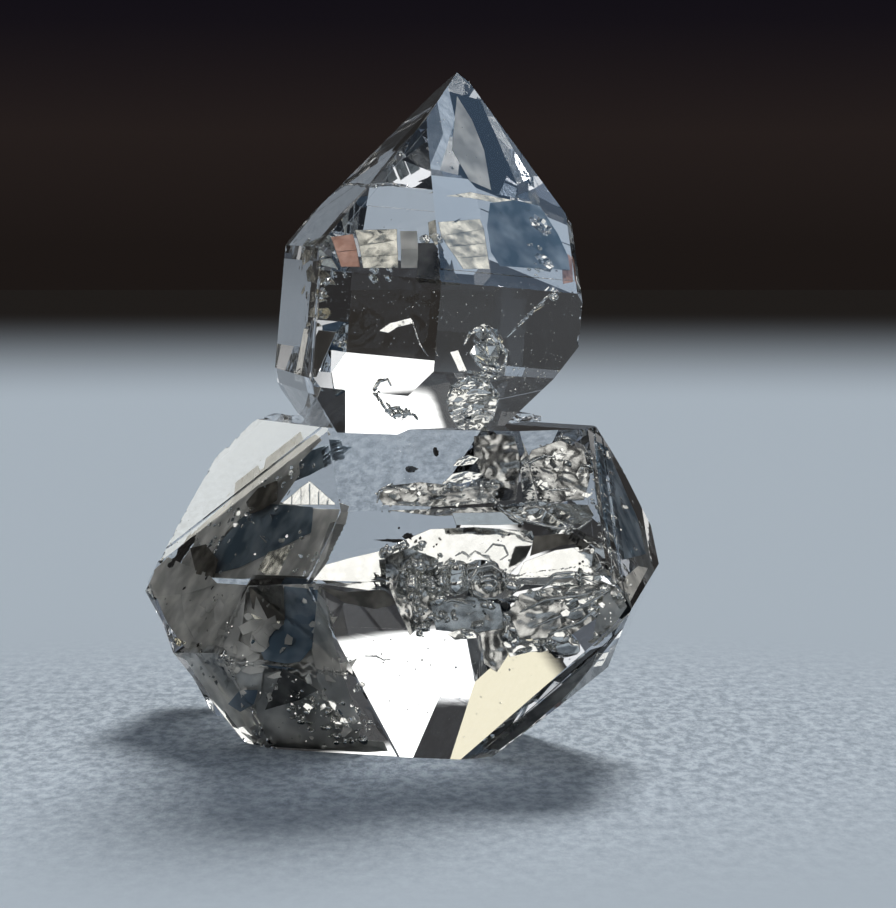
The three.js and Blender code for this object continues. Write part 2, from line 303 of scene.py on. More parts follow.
@dataclass(frozen=True)
class CarbonFinish:
    """Black flakes of carbon, a little glossy on their broken faces."""

    dark: Tone = Tone(0.006, 0.005, 0.005)
    pale: Tone = Tone(0.03, 0.027, 0.024)
    glossiest: float = 0.35
    dullest: float = 0.75
    relief: GrowthRelief = GrowthRelief(line_scale=2.0, wave_scale=4000.0, line_share=0.2)

    def material(self) -> bpy.types.Material:
        """Builds the carbon.

        Returns:
            A near-black material with small changes of colour and gloss.
        """
        material, wiring = new_material("carbon_black")
        relief = self.relief.place(wiring).outputs
        gloss = wiring.add("MapRange", {"Value": relief["Height"], "To Min": self.glossiest,
                                        "To Max": self.dullest})
        carbon = wiring.add("BsdfPrincipled", {
            "Base Color": wiring.mix(relief["Mask"], self.dark, self.pale),
            "Roughness": gloss.outputs["Result"]})
        wiring.add("OutputMaterial", {"Surface": carbon.outputs["BSDF"]})
        return material


# ---- Studio ----


@dataclass(frozen=True)
class StudioCamera:
    """A long lens a hand's width away, just above the height of the cluster's middle, in millimetres."""

    across: float = 1.83
    away: float = 105.38
    height: float = 15.8
    pitch_down: float = 3.28
    nearest: float = 0.001
    farthest: float = 50.0

    def location(self) -> Vector:
        """Returns where the camera stands, in metres."""
        return Vector((self.across, -self.away, self.height)) * MILLIMETRE

    def forward(self) -> Vector:
        """Returns the direction that the camera looks in."""
        pitch = math.radians(self.pitch_down)
        return Vector((0.0, math.cos(pitch), -math.sin(pitch)))

    def ray(self, spot: Spot) -> Vector:
        """Finds the direction of one point of the frame.

        Args:
            spot: The point of the frame.

        Returns:
            The unit direction from the camera through that point.
        """
        right = Vector((1.0, 0.0, 0.0))
        up = right.cross(self.forward())
        along = self.forward() * FOCAL_PIXELS
        across = right * (spot.across - FRAME_WIDTH / 2)
        down = up * (spot.down - FRAME_HEIGHT / 2)
        return (along + across - down).normalized()

    def build(self) -> bpy.types.Object:
        """Makes the camera and hands it to the scene.

        Returns:
            The camera object.
        """
        lens = bpy.data.cameras.new("studio_camera")
        lens.sensor_fit = "HORIZONTAL"
        lens.sensor_width = SENSOR_WIDTH
        lens.lens = FOCAL_PIXELS / FRAME_WIDTH * SENSOR_WIDTH
        lens.clip_start = self.nearest
        lens.clip_end = self.farthest
        camera = new_object("studio_camera", lens)
        camera.location = self.location()
        camera.rotation_euler = (math.radians(90.0 - self.pitch_down), 0.0, 0.0)
        bpy.context.scene.camera = camera
        return camera


WINDOW_LIGHT = Tone(1.0, 0.99, 0.95)
CARD_LIGHT = Tone(1.0, 0.99, 0.96)


@dataclass(frozen=True)
class LightPanel:
    """A soft panel of light, far away: its direction from the cluster and its half sizes, in degrees."""

    name: str
    azimuth: float
    elevation: float
    half_width: float
    half_height: float
    edge: float
    tone: Tone
    strength: float


@dataclass(frozen=True)
class Surroundings:
    """What stands round the table: a dark room, a dim sky and a few bright panels."""

    panels: tuple[LightPanel, ...] = (
        LightPanel("high_window", -14.0, 22.1, 11.0, 3.3, 0.3, WINDOW_LIGHT, 2.2),
        LightPanel("high_window_end", 2.4, 21.6, 5.4, 3.0, 0.3, WINDOW_LIGHT, 2.2),
        LightPanel("left_window", -32.0, 17.4, 5.5, 2.3, 0.6, Tone(1.0, 0.98, 0.88), 1.7),
        LightPanel("upper_pane", -4.0, 35.2, 10.0, 1.8, 0.4, WINDOW_LIGHT, 2.2),
        LightPanel("warm_window", -59.0, 20.2, 12.0, 3.0, 0.4, Tone(1.0, 0.92, 0.68), 1.25),
        LightPanel("fill_card", 151.0, 22.0, 25.0, 18.0, 2.0, CARD_LIGHT, 1.3),
        LightPanel("right_card", 100.0, 34.0, 22.0, 22.0, 3.0, CARD_LIGHT, 0.9),
        LightPanel("left_card", -142.0, 25.0, 24.0, 12.0, 3.0, CARD_LIGHT, 0.8),
        LightPanel("right_sky", 62.0, 42.0, 9.0, 6.0, 3.0, Tone(0.36, 0.62, 1.0), 0.9),
        LightPanel("side_window", -73.0, 35.5, 7.0, 3.6, 0.3, CARD_LIGHT, 2.0),
        LightPanel("low_card", -84.0, -1.0, 17.0, 5.15, 0.35, Tone(1.0, 0.98, 0.92), 1.5),
        LightPanel("sun_glow", 25.6, 44.0, 4.0, 1.4, 0.6, Tone(1.0, 0.97, 0.90), 1.6),
    )
    low_dark: Tone = Tone(0.012, 0.009, 0.008)
    mid_dark: Tone = Tone(0.018, 0.013, 0.012)
    high_dark: Tone = Tone(0.006, 0.005, 0.008)
    lit_dark: Tone = Tone(0.036, 0.034, 0.033)
    room: Tone = Tone(0.10, 0.10, 0.10)
    sky: Tone = Tone(0.30, 0.36, 0.46)

    LOWEST = -90.0
    HIGHEST = 90.0

    def build(self) -> bpy.types.World:
        """Builds the world.

        Returns:
            The world, which the camera sees without its panels.
        """
        world = bpy.data.worlds.new("quiet_room")
        bpy.context.scene.world = world
        world.use_nodes = True
        wiring = Wiring(world.node_tree)
        place = wiring.add("TexCoord").outputs["Generated"]
        parts = wiring.add("SeparateXYZ", {"Vector": place}).outputs
        elevation = wiring.math("DEGREES", wiring.math("ARCSINE", parts["Z"]))
        azimuth = wiring.math("DEGREES", wiring.math("ARCTAN2", parts["X"], parts["Y"]))
        seen = self._ramp(wiring, elevation, (
            (-1.0, self.low_dark), (0.6, self.low_dark), (2.8, self.mid_dark), (5.2, self.high_dark),
            (30.0, self.high_dark)))
        lit = self._ramp(wiring, elevation, (
            (-90.0, self.room), (-2.0, self.lit_dark), (15.0, self.lit_dark), (26.0, self.lit_dark),
            (45.0, self.room), (88.0, self.sky)))
        for panel in self.panels:
            lit = self._add_panel(wiring, lit, azimuth, elevation, panel)
        path = wiring.add("LightPath").outputs["Is Camera Ray"]
        glow = wiring.add("Background", {"Color": wiring.mix(path, lit, seen)})
        wiring.add("OutputWorld", {"Surface": glow.outputs["Background"]})
        return world

    def _ramp(self, wiring: Wiring, elevation: Socket, stops: Sequence[tuple[float, Tone]]) -> Socket:
        """Colours the room by elevation.

        Args:
            wiring: What adds the world's nodes.
            elevation: The direction's elevation in degrees.
            stops: Elevations with their colours, from low to high.

        Returns:
            The colour.
        """
        share = wiring.add("MapRange", {"Value": elevation, "From Min": self.LOWEST,
                                        "From Max": self.HIGHEST})
        ramp = wiring.add("ValToRGB", {"Fac": share.outputs["Result"]})
        elements = ramp.color_ramp.elements
        given = len(elements)
        for place, (height, tone) in enumerate(stops):
            stop = elements[place] if place < given else elements.new(1.0)
            stop.position = (height - self.LOWEST) / (self.HIGHEST - self.LOWEST)
            stop.color = tone.rgba()
        return ramp.outputs["Color"]

    def _add_panel(self, wiring: Wiring, below: Socket, azimuth: Socket, elevation: Socket,
                   panel: LightPanel) -> Socket:
        """Adds one panel to the light.

        Args:
            wiring: What adds the world's nodes.
            below: The colour that is there already.
            azimuth: The direction's azimuth in degrees, 0 behind the cluster and positive to the right.
            elevation: The direction's elevation in degrees.
            panel: The panel.

        Returns:
            The new colour.
        """
        masks = []
        for angle, middle, half in ((azimuth, panel.azimuth, panel.half_width),
                                    (elevation, panel.elevation, panel.half_height)):
            off = wiring.math("ABSOLUTE", wiring.math("SUBTRACT", angle, middle))
            masks.append(wiring.fade(off, half + panel.edge / 2, half - panel.edge / 2))
        mask = wiring.math("MULTIPLY", wiring.math("MULTIPLY", *masks), panel.strength)
        spread = wiring.add("CombineXYZ", {"X": mask, "Y": mask, "Z": mask}).outputs["Vector"]
        inputs = {0: panel.tone.rgb(), 1: spread, 2: below}
        return wiring.add("VectorMath", inputs, operation="MULTIPLY_ADD", label=panel.name).outputs["Vector"]


@dataclass(frozen=True)
class TableTop:
    """A pale cool table with a fine grain, whose colour darkens into the dark room far from the cluster:
    painted shade, which starts nearer for light that bounces off it than for the camera.
    """

    radius: float = 6.0
    # Painted shade: the table's colour darkens as its nearness, one over the distance from the cluster plus
    # the core, falls from fade_near to fade_far; the lit pair does the same, nearer, for light that bounces
    # off the table.
    core: float = 0.105
    fade_near: float = 2.55
    fade_far: float = 0.62
    lit_fade_near: float = 3.6
    lit_fade_far: float = 1.3
    grain_reach: float = 0.034
    grain_scale: float = 2400.0
    grain_stretch: float = 0.45
    grain_contrast: float = 7.5
    bump_strength: float = 0.8
    bump_height: float = 0.00012
    roughness: float = 0.85
    pale: Tone = Tone(0.345, 0.398, 0.460)
    deep: Tone = Tone(0.205, 0.245, 0.292)
    # Painted shade: the colours that the far table darkens to, for the camera and for light that bounces off
    # it.
    dark: Tone = Tone(0.010, 0.0088, 0.0082)
    lit_dark: Tone = Tone(0.022, 0.020, 0.018)

    SIDES = 96
    MEAN = 0.5

    def build(self) -> bpy.types.Object:
        """Makes the table as a stage.

        Returns:
            The table's object.
        """
        mesh = bpy.data.meshes.new("table_top")
        work = bmesh.new()
        bmesh.ops.create_circle(work, cap_ends=True, segments=self.SIDES, radius=self.radius)
        work.to_mesh(mesh)
        work.free()
        table = new_object("table_top", mesh)
        mesh.materials.append(self.material())
        return table

    def material(self) -> bpy.types.Material:
        """Builds the table's finish.

        Returns:
            A matt material with a fine grain, whose colour darkens with the distance from the cluster as
            painted shade, nearer for bounced light than for the camera.
        """
        material, wiring = new_material("table_pale")
        place = wiring.add("TexCoord").outputs["Object"]
        reach = wiring.add("VectorMath", {0: place}, operation="LENGTH").outputs["Value"]
        nearness = wiring.math("DIVIDE", 1.0, wiring.math("ADD", reach, self.core))
        stretch = wiring.add("Mapping", {"Vector": place, "Scale": (1.0, self.grain_stretch, 1.0)})
        grain = wiring.add("TexNoise", {"Vector": stretch.outputs["Vector"], "Scale": self.grain_scale,
                                        "Detail": 4.0, "Roughness": 0.75})
        ground = wiring.math("SUBTRACT", grain.outputs["Fac"], self.MEAN)
        speck = wiring.math("MULTIPLY", ground, wiring.fade(reach, self.grain_reach, 0.0))
        share = wiring.math("MULTIPLY_ADD", speck, self.grain_contrast, self.MEAN)
        shade = wiring.mix(share, self.deep, self.pale)
        # Painted shade: far from the cluster the grain's colour darkens, for the camera and, nearer, for
        # light that bounces off the table; the camera ray picks which one.
        seen = wiring.mix(wiring.fade(nearness, self.fade_far, self.fade_near), self.dark, shade)
        lit = wiring.mix(wiring.fade(nearness, self.lit_fade_far, self.lit_fade_near), self.lit_dark, shade)
        path = wiring.add("LightPath").outputs["Is Camera Ray"]
        top = wiring.add("BsdfPrincipled", {
            "Base Color": wiring.mix(path, lit, seen),
            "Roughness": self.roughness, "Specular IOR Level": 0.0,
            "Normal": wiring.bump(speck, self.bump_strength, self.bump_height)})
        wiring.add("OutputMaterial", {"Surface": top.outputs["BSDF"]})
        return material


@dataclass(frozen=True)
class SunLamp:
    """Softened sunlight from behind the cluster and a little to its right."""

    azimuth: float = 12.0
    elevation: float = 40.0
    spread: float = 16.0
    strength: float = 5.2
    tone: Tone = Tone(1.0, 0.96, 0.90)

    def build(self) -> bpy.types.Object:
        """Makes the lamp.

        Returns:
            The lamp's object.
        """
        lamp = bpy.data.lights.new("sun_lamp", "SUN")
        lamp.energy = self.strength
        lamp.angle = math.radians(self.spread)
        lamp.color = self.tone.rgb()
        holder = new_object("sun_lamp", lamp)
        turn = math.radians(self.azimuth)
        rise = math.radians(self.elevation)
        towards = Vector((math.sin(turn) * math.cos(rise), math.cos(turn) * math.cos(rise), math.sin(rise)))
        holder.rotation_euler = towards.to_track_quat("Z", "Y").to_euler()
        return holder


# ---- Places inside the crystal ----


@dataclass(frozen=True)
class Berth:
    """A place inside the crystal, with the way that the view runs through it, in metres."""

    point: Vector
    along: Vector
    room: float

    def frame(self, turn: float) -> Matrix:
        """Builds the axes of a piece that lies across the view.

        Args:
            turn: How far the piece is turned in the picture, in degrees, anticlockwise.

        Returns:
            A matrix whose columns run across, up and along the view.
        """
        up = Vector((0.0, 0.0, 1.0))
        across = self.along.cross(up).normalized()
        upright = across.cross(self.along).normalized()
        axes = Matrix((across, upright, self.along)).transposed()
        return (axes @ Matrix.Rotation(math.radians(turn), 3, "Z")).to_4x4()


class InsideView:
    """Finds the places inside the crystal that show at given spots of the frame."""

    CLEARANCE = 0.12 * MILLIMETRE
    LEAST_GAP = CLEARANCE * 0.3
    DRAPE_GAP = CLEARANCE * 0.6
    ENTRY_SHARE = 0.1
    LEAST_SLOPE = 0.1
    PUSHES = 6
    PUSH = 1.02
    STEP = 0.0005 * MILLIMETRE
    MOST_CROSSINGS = 32
    TEST_LINE = Vector((0.31, 0.17, 0.935)).normalized()

    def __init__(self, camera: StudioCamera, solid: bpy.types.Object, ior: float) -> None:
        """Prepares the search.

        Args:
            camera: The camera.
            solid: The crystal's object.
            ior: The crystal's refractive index.
        """
        corners = [vertex.co.copy() for vertex in solid.data.vertices]
        faces = [tuple(face.vertices) for face in solid.data.polygons]
        self.camera = camera
        self.ior = ior
        self.solid = BVHTree.FromPolygons(corners, faces)

    def enter(self, spot: Spot) -> tuple[Vector, Vector] | None:
        """Follows the view through one spot to the crystal and bends it there.

        Args:
            spot: The spot of the frame.

        Returns:
            Where the view enters and its direction inside, or None where it misses.
        """
        ray = self.camera.ray(spot)
        entry, normal, _, _ = self.solid.ray_cast(self.camera.location(), ray)
        if entry is None:
            return None
        facing = -ray.dot(normal)
        inner = math.sqrt(1.0 - (1.0 - facing * facing) / (self.ior * self.ior))
        return entry, (ray / self.ior + normal * (facing / self.ior - inner)).normalized()

    def berth(self, spot: Spot, depth: float, margin: float = 0.0) -> Berth | None:
        """Follows the view through one spot into the crystal.

        Args:
            spot: The spot of the frame.
            depth: How deep the place lies, in millimetres along the refracted view.
            margin: The room that a piece needs round the place, in millimetres.

        Returns:
            The place, or None where the view misses the crystal or it is too thin there.
        """
        entered = self.enter(spot)
        if entered is None:
            return None
        entry, along = entered
        leave, _, _, _ = self.solid.ray_cast(entry + along * self.CLEARANCE * self.ENTRY_SHARE, along)
        if leave is None:
            return None
        thickness = (leave - entry).length
        clear = self.CLEARANCE + margin * MILLIMETRE
        if thickness < 2.0 * clear:
            return None
        reach = min(max(depth * MILLIMETRE, clear), thickness - clear)
        return self._pushed_inside(entry + along * reach, along, clear)

    def on_plane(self, spot: Spot, point: Vector, normal: Vector) -> Vector | None:
        """Finds where the view through one spot meets a plane inside the crystal.

        Args:
            spot: The spot of the frame.
            point: A point of the plane.
            normal: The plane's normal.

        Returns:
            The meeting point, or None where the view misses the crystal or runs along the plane.
        """
        entered = self.enter(spot)
        if entered is None:
            return None
        entry, along = entered
        slope = along.dot(normal)
        if abs(slope) < self.LEAST_SLOPE:
            return None
        return entry + along * ((point - entry).dot(normal) / slope)

    def _pushed_inside(self, point: Vector, along: Vector, clear: float) -> Berth:
        """Moves a place away from any face that is too near.

        Args:
            point: The place.
            along: The way of the view there.
            clear: The distance that it keeps from every face, in metres.

        Returns:
            The berth.
        """
        for _ in range(self.PUSHES):
            near, normal, _, gap = self.solid.find_nearest(point)
            if gap >= clear and self.covers(point):
                break
            point = near - normal * clear * self.PUSH
        _, _, _, gap = self.solid.find_nearest(point)
        return Berth(point, along, gap)

    def covers(self, point: Vector) -> bool:
        """Tells whether a point lies inside the crystal, by the faces that a line from it crosses.

        Args:
            point: The point.

        Returns:
            Whether the line crosses an odd number of faces.
        """
        crossings = 0
        start = point
        while crossings < self.MOST_CROSSINGS:
            hit, _, _, _ = self.solid.ray_cast(start, self.TEST_LINE)
            if hit is None:
                break
            crossings += 1
            start = hit + self.TEST_LINE * self.STEP
        return crossings % 2 == 1

    def holds(self, point: Vector) -> bool:
        """Returns whether a point lies inside the crystal, clear of its faces."""
        _, _, _, gap = self.solid.find_nearest(point)
        return gap > self.LEAST_GAP and self.covers(point)


# ---- Meshes of what is inside ----


@cache
def unit_ball(fineness: int) -> Shape:
    """Makes a ball of radius one.

    Args:
        fineness: How often its triangles are divided.

    Returns:
        Its corners and faces.
    """
    work = bmesh.new()
    bmesh.ops.create_icosphere(work, subdivisions=fineness, radius=1.0)
    work.verts.index_update()
    corners = [vertex.co.copy() for vertex in work.verts]
    faces = [tuple(vertex.index for vertex in face.verts) for face in work.faces]
    work.free()
    return corners, faces


class InnerMesh:
    """Collects small closed shapes into one piece that lies inside the crystal."""

    def __init__(self, name: str, inside: InsideView) -> None:
        """Starts an empty piece.

        Args:
            name: The piece's name.
            inside: What finds places inside the crystal.
        """
        self.name = name
        self.inside = inside
        self.corners: list[Vector] = []
        self.faces: Faces = []

    def add(self, corners: Sequence[Vector], faces: Faces) -> bool:
        """Adds one closed shape if it lies wholly inside the crystal.

        Args:
            corners: The shape's corners, in metres.
            faces: The shape's faces.

        Returns:
            Whether it was added.
        """
        if not all(self.inside.holds(corner) for corner in corners):
            return False
        start = len(self.corners)
        self.corners.extend(corners)
        self.faces.extend(tuple(start + index for index in face) for face in faces)
        return True

    def finish(self, material: bpy.types.Material, slot: Slot, smooth: bool) -> bpy.types.Object:
        """Turns the collected shapes into a piece that rides with the cluster.

        Args:
            material: The piece's material.
            slot: The record's slot for the piece's finish; not used.
            smooth: Whether its faces are shaded smoothly.

        Returns:
            The piece's object.
        """
        mesh = bpy.data.meshes.new(self.name)
        mesh.from_pydata(self.corners, [], self.faces)
        mesh.polygons.foreach_set("use_smooth", [smooth] * len(mesh.polygons))
        mesh.materials.append(material)
        mesh.update()
        piece = new_object(self.name, mesh)
        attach(piece, BODY)
        LOG.info("%s: %d triangles", self.name, sum(len(face) - 2 for face in self.faces))
        return piece


class Thing:
    """One closed shape inside the crystal."""

    depth: float

    DEPTH_TRIES: ClassVar[tuple[float, ...]] = (1.0,)

    def put_in(self, piece: InnerMesh) -> bool:
        """Adds the thing to a piece, at the first of its depths that has room for it.

        Args:
            piece: The piece that it becomes part of.

        Returns:
            Whether there was room for it.
        """
        for share in self.DEPTH_TRIES:
            shape = self.shape(piece.inside, self.depth * share)
            if shape is not None and piece.add(*shape):
                return True
        return False

    def shape(self, inside: InsideView, depth: float) -> Shape | None:
        """Shapes the thing at one depth.

        Args:
            inside: What finds places inside the crystal.
            depth: The depth of its middle, in millimetres.

        Returns:
            The corners and the faces, or None where it can't lie.
        """
        raise NotImplementedError


@dataclass(frozen=True)
class Blob(Thing):
    """One crumpled hollow, bead or flake: its size in millimetres across, up and along the view."""

    spot: Spot
    width: float
    height: float
    thickness: float
    depth: float
    turn: float = 0.0
    tilt: float = 0.0
    crinkle: float = 0.5
    waves: float = 2.0
    seed: float = 0.0
    fineness: int = 3

    FLAT_SHARE = 0.35
    SHIFT = (1.0, -0.7, 1.3)
    FINE_WAVES = 2.7
    FINE_SHARE = 0.45

    def shape(self, inside: InsideView, depth: float) -> Shape | None:
        """Shapes the blob from a crumpled ball.

        Args:
            inside: What finds places inside the crystal.
            depth: The depth of its middle, in millimetres.

        Returns:
            The corners and the faces, or None where the crystal is too thin.
        """
        margin = 0.5 * max(self.thickness, self.FLAT_SHARE * min(self.width, self.height))
        berth = inside.berth(self.spot, depth, margin)
        if berth is None:
            return None
        axes = (berth.frame(self.turn) @ Matrix.Rotation(math.radians(self.tilt), 4, "Y")).to_3x3()
        half = Vector((self.width, self.height, self.thickness)) * (0.5 * MILLIMETRE)
        unit, faces = unit_ball(self.fineness)
        return [berth.point + axes @ (self._bent(corner) * half) for corner in unit], faces

    def _bent(self, corner: Vector) -> Vector:
        """Moves a corner of a unit ball in or out along itself.

        Args:
            corner: The corner.

        Returns:
            The moved corner.
        """
        shift = Vector([self.seed * share for share in self.SHIFT])
        coarse = noise.noise(corner * self.waves + shift)
        fine = noise.noise(corner * self.waves * self.FINE_WAVES - shift)
        return corner * (1.0 + self.crinkle * (coarse + self.FINE_SHARE * fine))


@dataclass(frozen=True)
class Plane:
    """Where a film lies: its middle in the frame, its depth in millimetres, its middle point and normal."""

    middle: Spot
    depth: float
    point: Vector
    normal: Vector


@dataclass(frozen=True)
class Film(Thing):
    """A thin healed crack: its outline in the frame, its depth, and how it leans away from the view.

    Turned and raised are degrees that its front is turned to the right and upwards. Ripple and wave are
    the height and the length of its waves in millimetres.
    """

    outline: tuple[Spot, ...]
    depth: float
    turned: float
    raised: float
    ripple: float
    wave: float
    seed: float
    rings: int = 14

    THICKNESS = 0.02
    SPACING = 2.5
    DEPTH_TRIES = (1.0, 1.4, 0.7, 2.0, 0.5, 2.8)
    BORDER = 0.25
    MOST_BORDER = 0.2
    FINE_WAVES = 2.3
    FINE_SHARE = 0.4

    def shape(self, inside: InsideView, depth: float) -> Shape | None:
        """Shapes the film from rings round its middle.

        Args:
            inside: What finds places inside the crystal.
            depth: The depth of its middle, in millimetres.

        Returns:
            The corners and the faces, or None where the view misses the crystal.
        """
        rim = walk(self.outline + self.outline[:1], self.SPACING, 1)
        middle = Spot(sum(spot.across for spot in rim) / len(rim), sum(spot.down for spot in rim) / len(rim))
        berth = inside.berth(middle, depth)
        if berth is None:
            return None
        turned = math.radians(self.turned)
        raised = math.radians(self.raised)
        facing = Vector((math.sin(turned) * math.cos(raised), math.sin(raised),
                         -math.cos(turned) * math.cos(raised)))
        normal = (berth.frame(0.0).to_3x3() @ facing).normalized()
        plane = Plane(middle, depth, berth.point, normal)
        front: list[Vector] = [berth.point.copy()]
        for ring in range(1, self.rings + 1):
            for spot in rim:
                share = self._share(ring, middle.distance(spot))
                point = self._point(inside, middle.towards(spot, share), plane)
                if point is None:
                    return None
                front.append(point)
        inner = len(front) - len(rim)
        shaped = [self._rippled(inside, point, normal) for point in front]
        half = self.THICKNESS * MILLIMETRE / 2
        upper = [point + normal * half for point in shaped[:inner]] + shaped[inner:]
        lower = [point - normal * half for point in shaped[:inner]]
        return upper + lower, self._faces(len(upper), len(rim))

    def _point(self, inside: InsideView, place: Spot, plane: Plane) -> Vector | None:
        """Returns where the view through one spot meets the film's plane."""
        return inside.on_plane(place, plane.point, plane.normal)

    def _share(self, ring: int, reach: float) -> float:
        """Finds how far out a ring lies.

        Args:
            ring: The ring's number. The last two lie close inside the rim, so that only its edge is rounded.
            reach: How far the rim lies from the middle there, in the frame's pixels.

        Returns:
            The share of the way from the middle to the rim.
        """
        border = min(self.BORDER / max(reach, self.BORDER), self.MOST_BORDER)
        if ring == self.rings:
            return 1.0
        if ring == self.rings - 1:
            return 1.0 - border
        return (1.0 - 2.0 * border) * ring / (self.rings - 2)

    def _rippled(self, inside: InsideView, point: Vector, normal: Vector) -> Vector:
        """Moves a point a little along the film's normal.

        Args:
            inside: What finds places inside the crystal.
            point: The point.
            normal: The film's normal.

        Returns:
            The moved point, or the same one where it would come too near to a face.
        """
        place = point / (self.wave * MILLIMETRE) + Vector((self.seed, self.seed, self.seed))
        height = noise.noise(place) + self.FINE_SHARE * noise.noise(place * self.FINE_WAVES)
        moved = point + normal * (self.ripple * MILLIMETRE * height)
        return moved if inside.holds(moved) else point

    def _faces(self, below: int, around: int) -> Faces:
        """Joins both sides of the film, each numbered from its middle outwards, at its rim.

        Args:
            below: The number of the first corner of the far side, which shares the rim of the near side.
            around: How many corners a ring has.

        Returns:
            The faces of the closed film.
        """
        faces: Faces = []
        for step in range(around):
            after = (step + 1) % around
            faces.append((0, 1 + after, 1 + step))
            faces.append((below, below + 1 + step, below + 1 + after))
            for ring in range(1, self.rings):
                near = 1 + around * (ring - 1)
                far = 1 + around * ring
                under = far if ring == self.rings - 1 else below + far
                faces.append((near + step, near + after, far + after, far + step))
                faces.append((under + step, under + after, below + near + after, below + near + step))
        return faces


@dataclass(frozen=True)
class Drape(Film):
    """A healed crack that keeps an even depth behind the crystal's faces."""

    TRIES = 8
    PULL = 0.08

    def _point(self, inside: InsideView, place: Spot, plane: Plane) -> Vector | None:
        """Finds a point at an even depth.

        Args:
            inside: What finds places inside the crystal.
            place: The spot of the frame.
            plane: Where the film lies.

        Returns:
            The point, nearer to the film's middle where there is no room, or None.
        """
        for _ in range(self.TRIES):
            berth = inside.berth(place, plane.depth)
            if berth is not None and berth.room > inside.DRAPE_GAP:
                return berth.point
            place = place.towards(plane.middle, self.PULL)
        return None


@dataclass(frozen=True)
class Strand(Thing):
    """A thin crumpled tube, such as the rim of a healed crack, that runs through spots of the frame."""

    path: tuple[Spot, ...]
    depth: float
    radius: float
    crinkle: float
    seed: float

    SIDES = 8
    SPACING = 2.0
    FEWEST_STEPS = 2
    FEWEST_POINTS = 3
    DEPTH_TRIES = (1.0, 1.5, 2.2)
    TAPER_START = 0.06
    TAPER_SPAN = 0.88
    THINNEST = 0.12
    ROUGHNESS_LENGTH = 0.18 * MILLIMETRE
    ROUGHNESS_AROUND = 1.4

    def shape(self, inside: InsideView, depth: float) -> Shape | None:
        """Shapes the strand from rings along its path.

        Args:
            inside: What finds places inside the crystal.
            depth: The depth that it keeps, in millimetres.

        Returns:
            The corners and the faces, or None where too little of it would lie in the crystal.
        """
        spots = walk(self.path, self.SPACING, self.FEWEST_STEPS) + [self.path[-1]]
        berths = [inside.berth(spot, depth, self.radius) for spot in spots]
        middles = [berth.point for berth in berths if berth is not None]
        if len(middles) < self.FEWEST_POINTS:
            return None
        last = len(middles) - 1
        corners = [corner for place in range(last + 1) for corner in self._ring(middles, place)]
        faces: Faces = [tuple(reversed(range(self.SIDES)))]
        for near in range(0, last * self.SIDES, self.SIDES):
            far = near + self.SIDES
            for step in range(self.SIDES):
                after = (step + 1) % self.SIDES
                faces.append((near + step, near + after, far + after, far + step))
        faces.append(tuple(range(last * self.SIDES, (last + 1) * self.SIDES)))
        return corners, faces

    def _ring(self, middles: list[Vector], place: int) -> list[Vector]:
        """Shapes the tube at one of its points.

        Args:
            middles: The points that the tube runs through.
            place: Which of them the ring goes round.

        Returns:
            The ring's corners.
        """
        middle = middles[place]
        last = len(middles) - 1
        along = (middles[min(place + 1, last)] - middles[max(place - 1, 0)]).normalized()
        side = along.orthogonal().normalized()
        other = along.cross(side)
        swell = math.sin(math.pi * (self.TAPER_START + self.TAPER_SPAN * (place / last))) ** 0.5
        radius = self.radius * MILLIMETRE * max(self.THINNEST, swell)
        corners: list[Vector] = []
        for step in range(self.SIDES):
            angle = math.tau * step / self.SIDES
            out = side * math.cos(angle) + other * math.sin(angle)
            rough = noise.noise(middle / self.ROUGHNESS_LENGTH + out * self.ROUGHNESS_AROUND
                                + Vector((self.seed, 0.0, 0.0)))
            corners.append(middle + out * (radius * (1.0 + self.crinkle * rough)))
        return corners


class Batch:
    """Many things that a piece holds under one name."""

    def things(self) -> list[Thing]:
        """Returns the things."""
        raise NotImplementedError


@dataclass(frozen=True)
class Strewn(Batch):
    """Things strewn over an outline in the frame, the same ones each time, mostly small ones."""

    outline: tuple[Spot, ...]
    count: int
    size: tuple[float, float]
    depth: tuple[float, float]
    turn: float = 0.0
    seed: int = 1

    SMALLNESS = 2.0
    FARTHEST_SEED = 50.0

    def things(self) -> list[Thing]:
        """Returns the things, in the order of their random numbers."""
        luck = random.Random(self.seed)
        return [self.thing(spot, luck) for spot in self._spots(luck)]

    def thing(self, spot: Spot, luck: random.Random) -> Thing:
        """Makes one thing.

        Args:
            spot: The spot that it lies at.
            luck: The random numbers.

        Returns:
            The thing.
        """
        raise NotImplementedError

    def _spots(self, luck: random.Random) -> list[Spot]:
        """Scatters spots over the outline.

        Args:
            luck: The random numbers.

        Returns:
            As many spots as there are things.
        """
        across = [spot.across for spot in self.outline]
        down = [spot.down for spot in self.outline]
        found: list[Spot] = []
        while len(found) < self.count:
            spot = Spot(luck.uniform(min(across), max(across)), luck.uniform(min(down), max(down)))
            if self._covers(spot):
                found.append(spot)
        return found

    def some_size(self, luck: random.Random) -> float:
        """Returns one thing's size."""
        return self.size[0] + (self.size[1] - self.size[0]) * luck.random() ** self.SMALLNESS

    def some_seed(self, luck: random.Random) -> float:
        """Returns one thing's seed."""
        return luck.uniform(-self.FARTHEST_SEED, self.FARTHEST_SEED)

    def _covers(self, spot: Spot) -> bool:
        """Tells whether a spot lies inside the outline.

        Args:
            spot: The spot.

        Returns:
            Whether a line from it to the right crosses an odd number of edges.
        """
        inside = False
        last = self.outline[-1]
        for corner in self.outline:
            if (corner.down > spot.down) != (last.down > spot.down):
                share = (spot.down - corner.down) / (last.down - corner.down)
                if spot.across < corner.across + share * (last.across - corner.across):
                    inside = not inside
            last = corner
        return inside


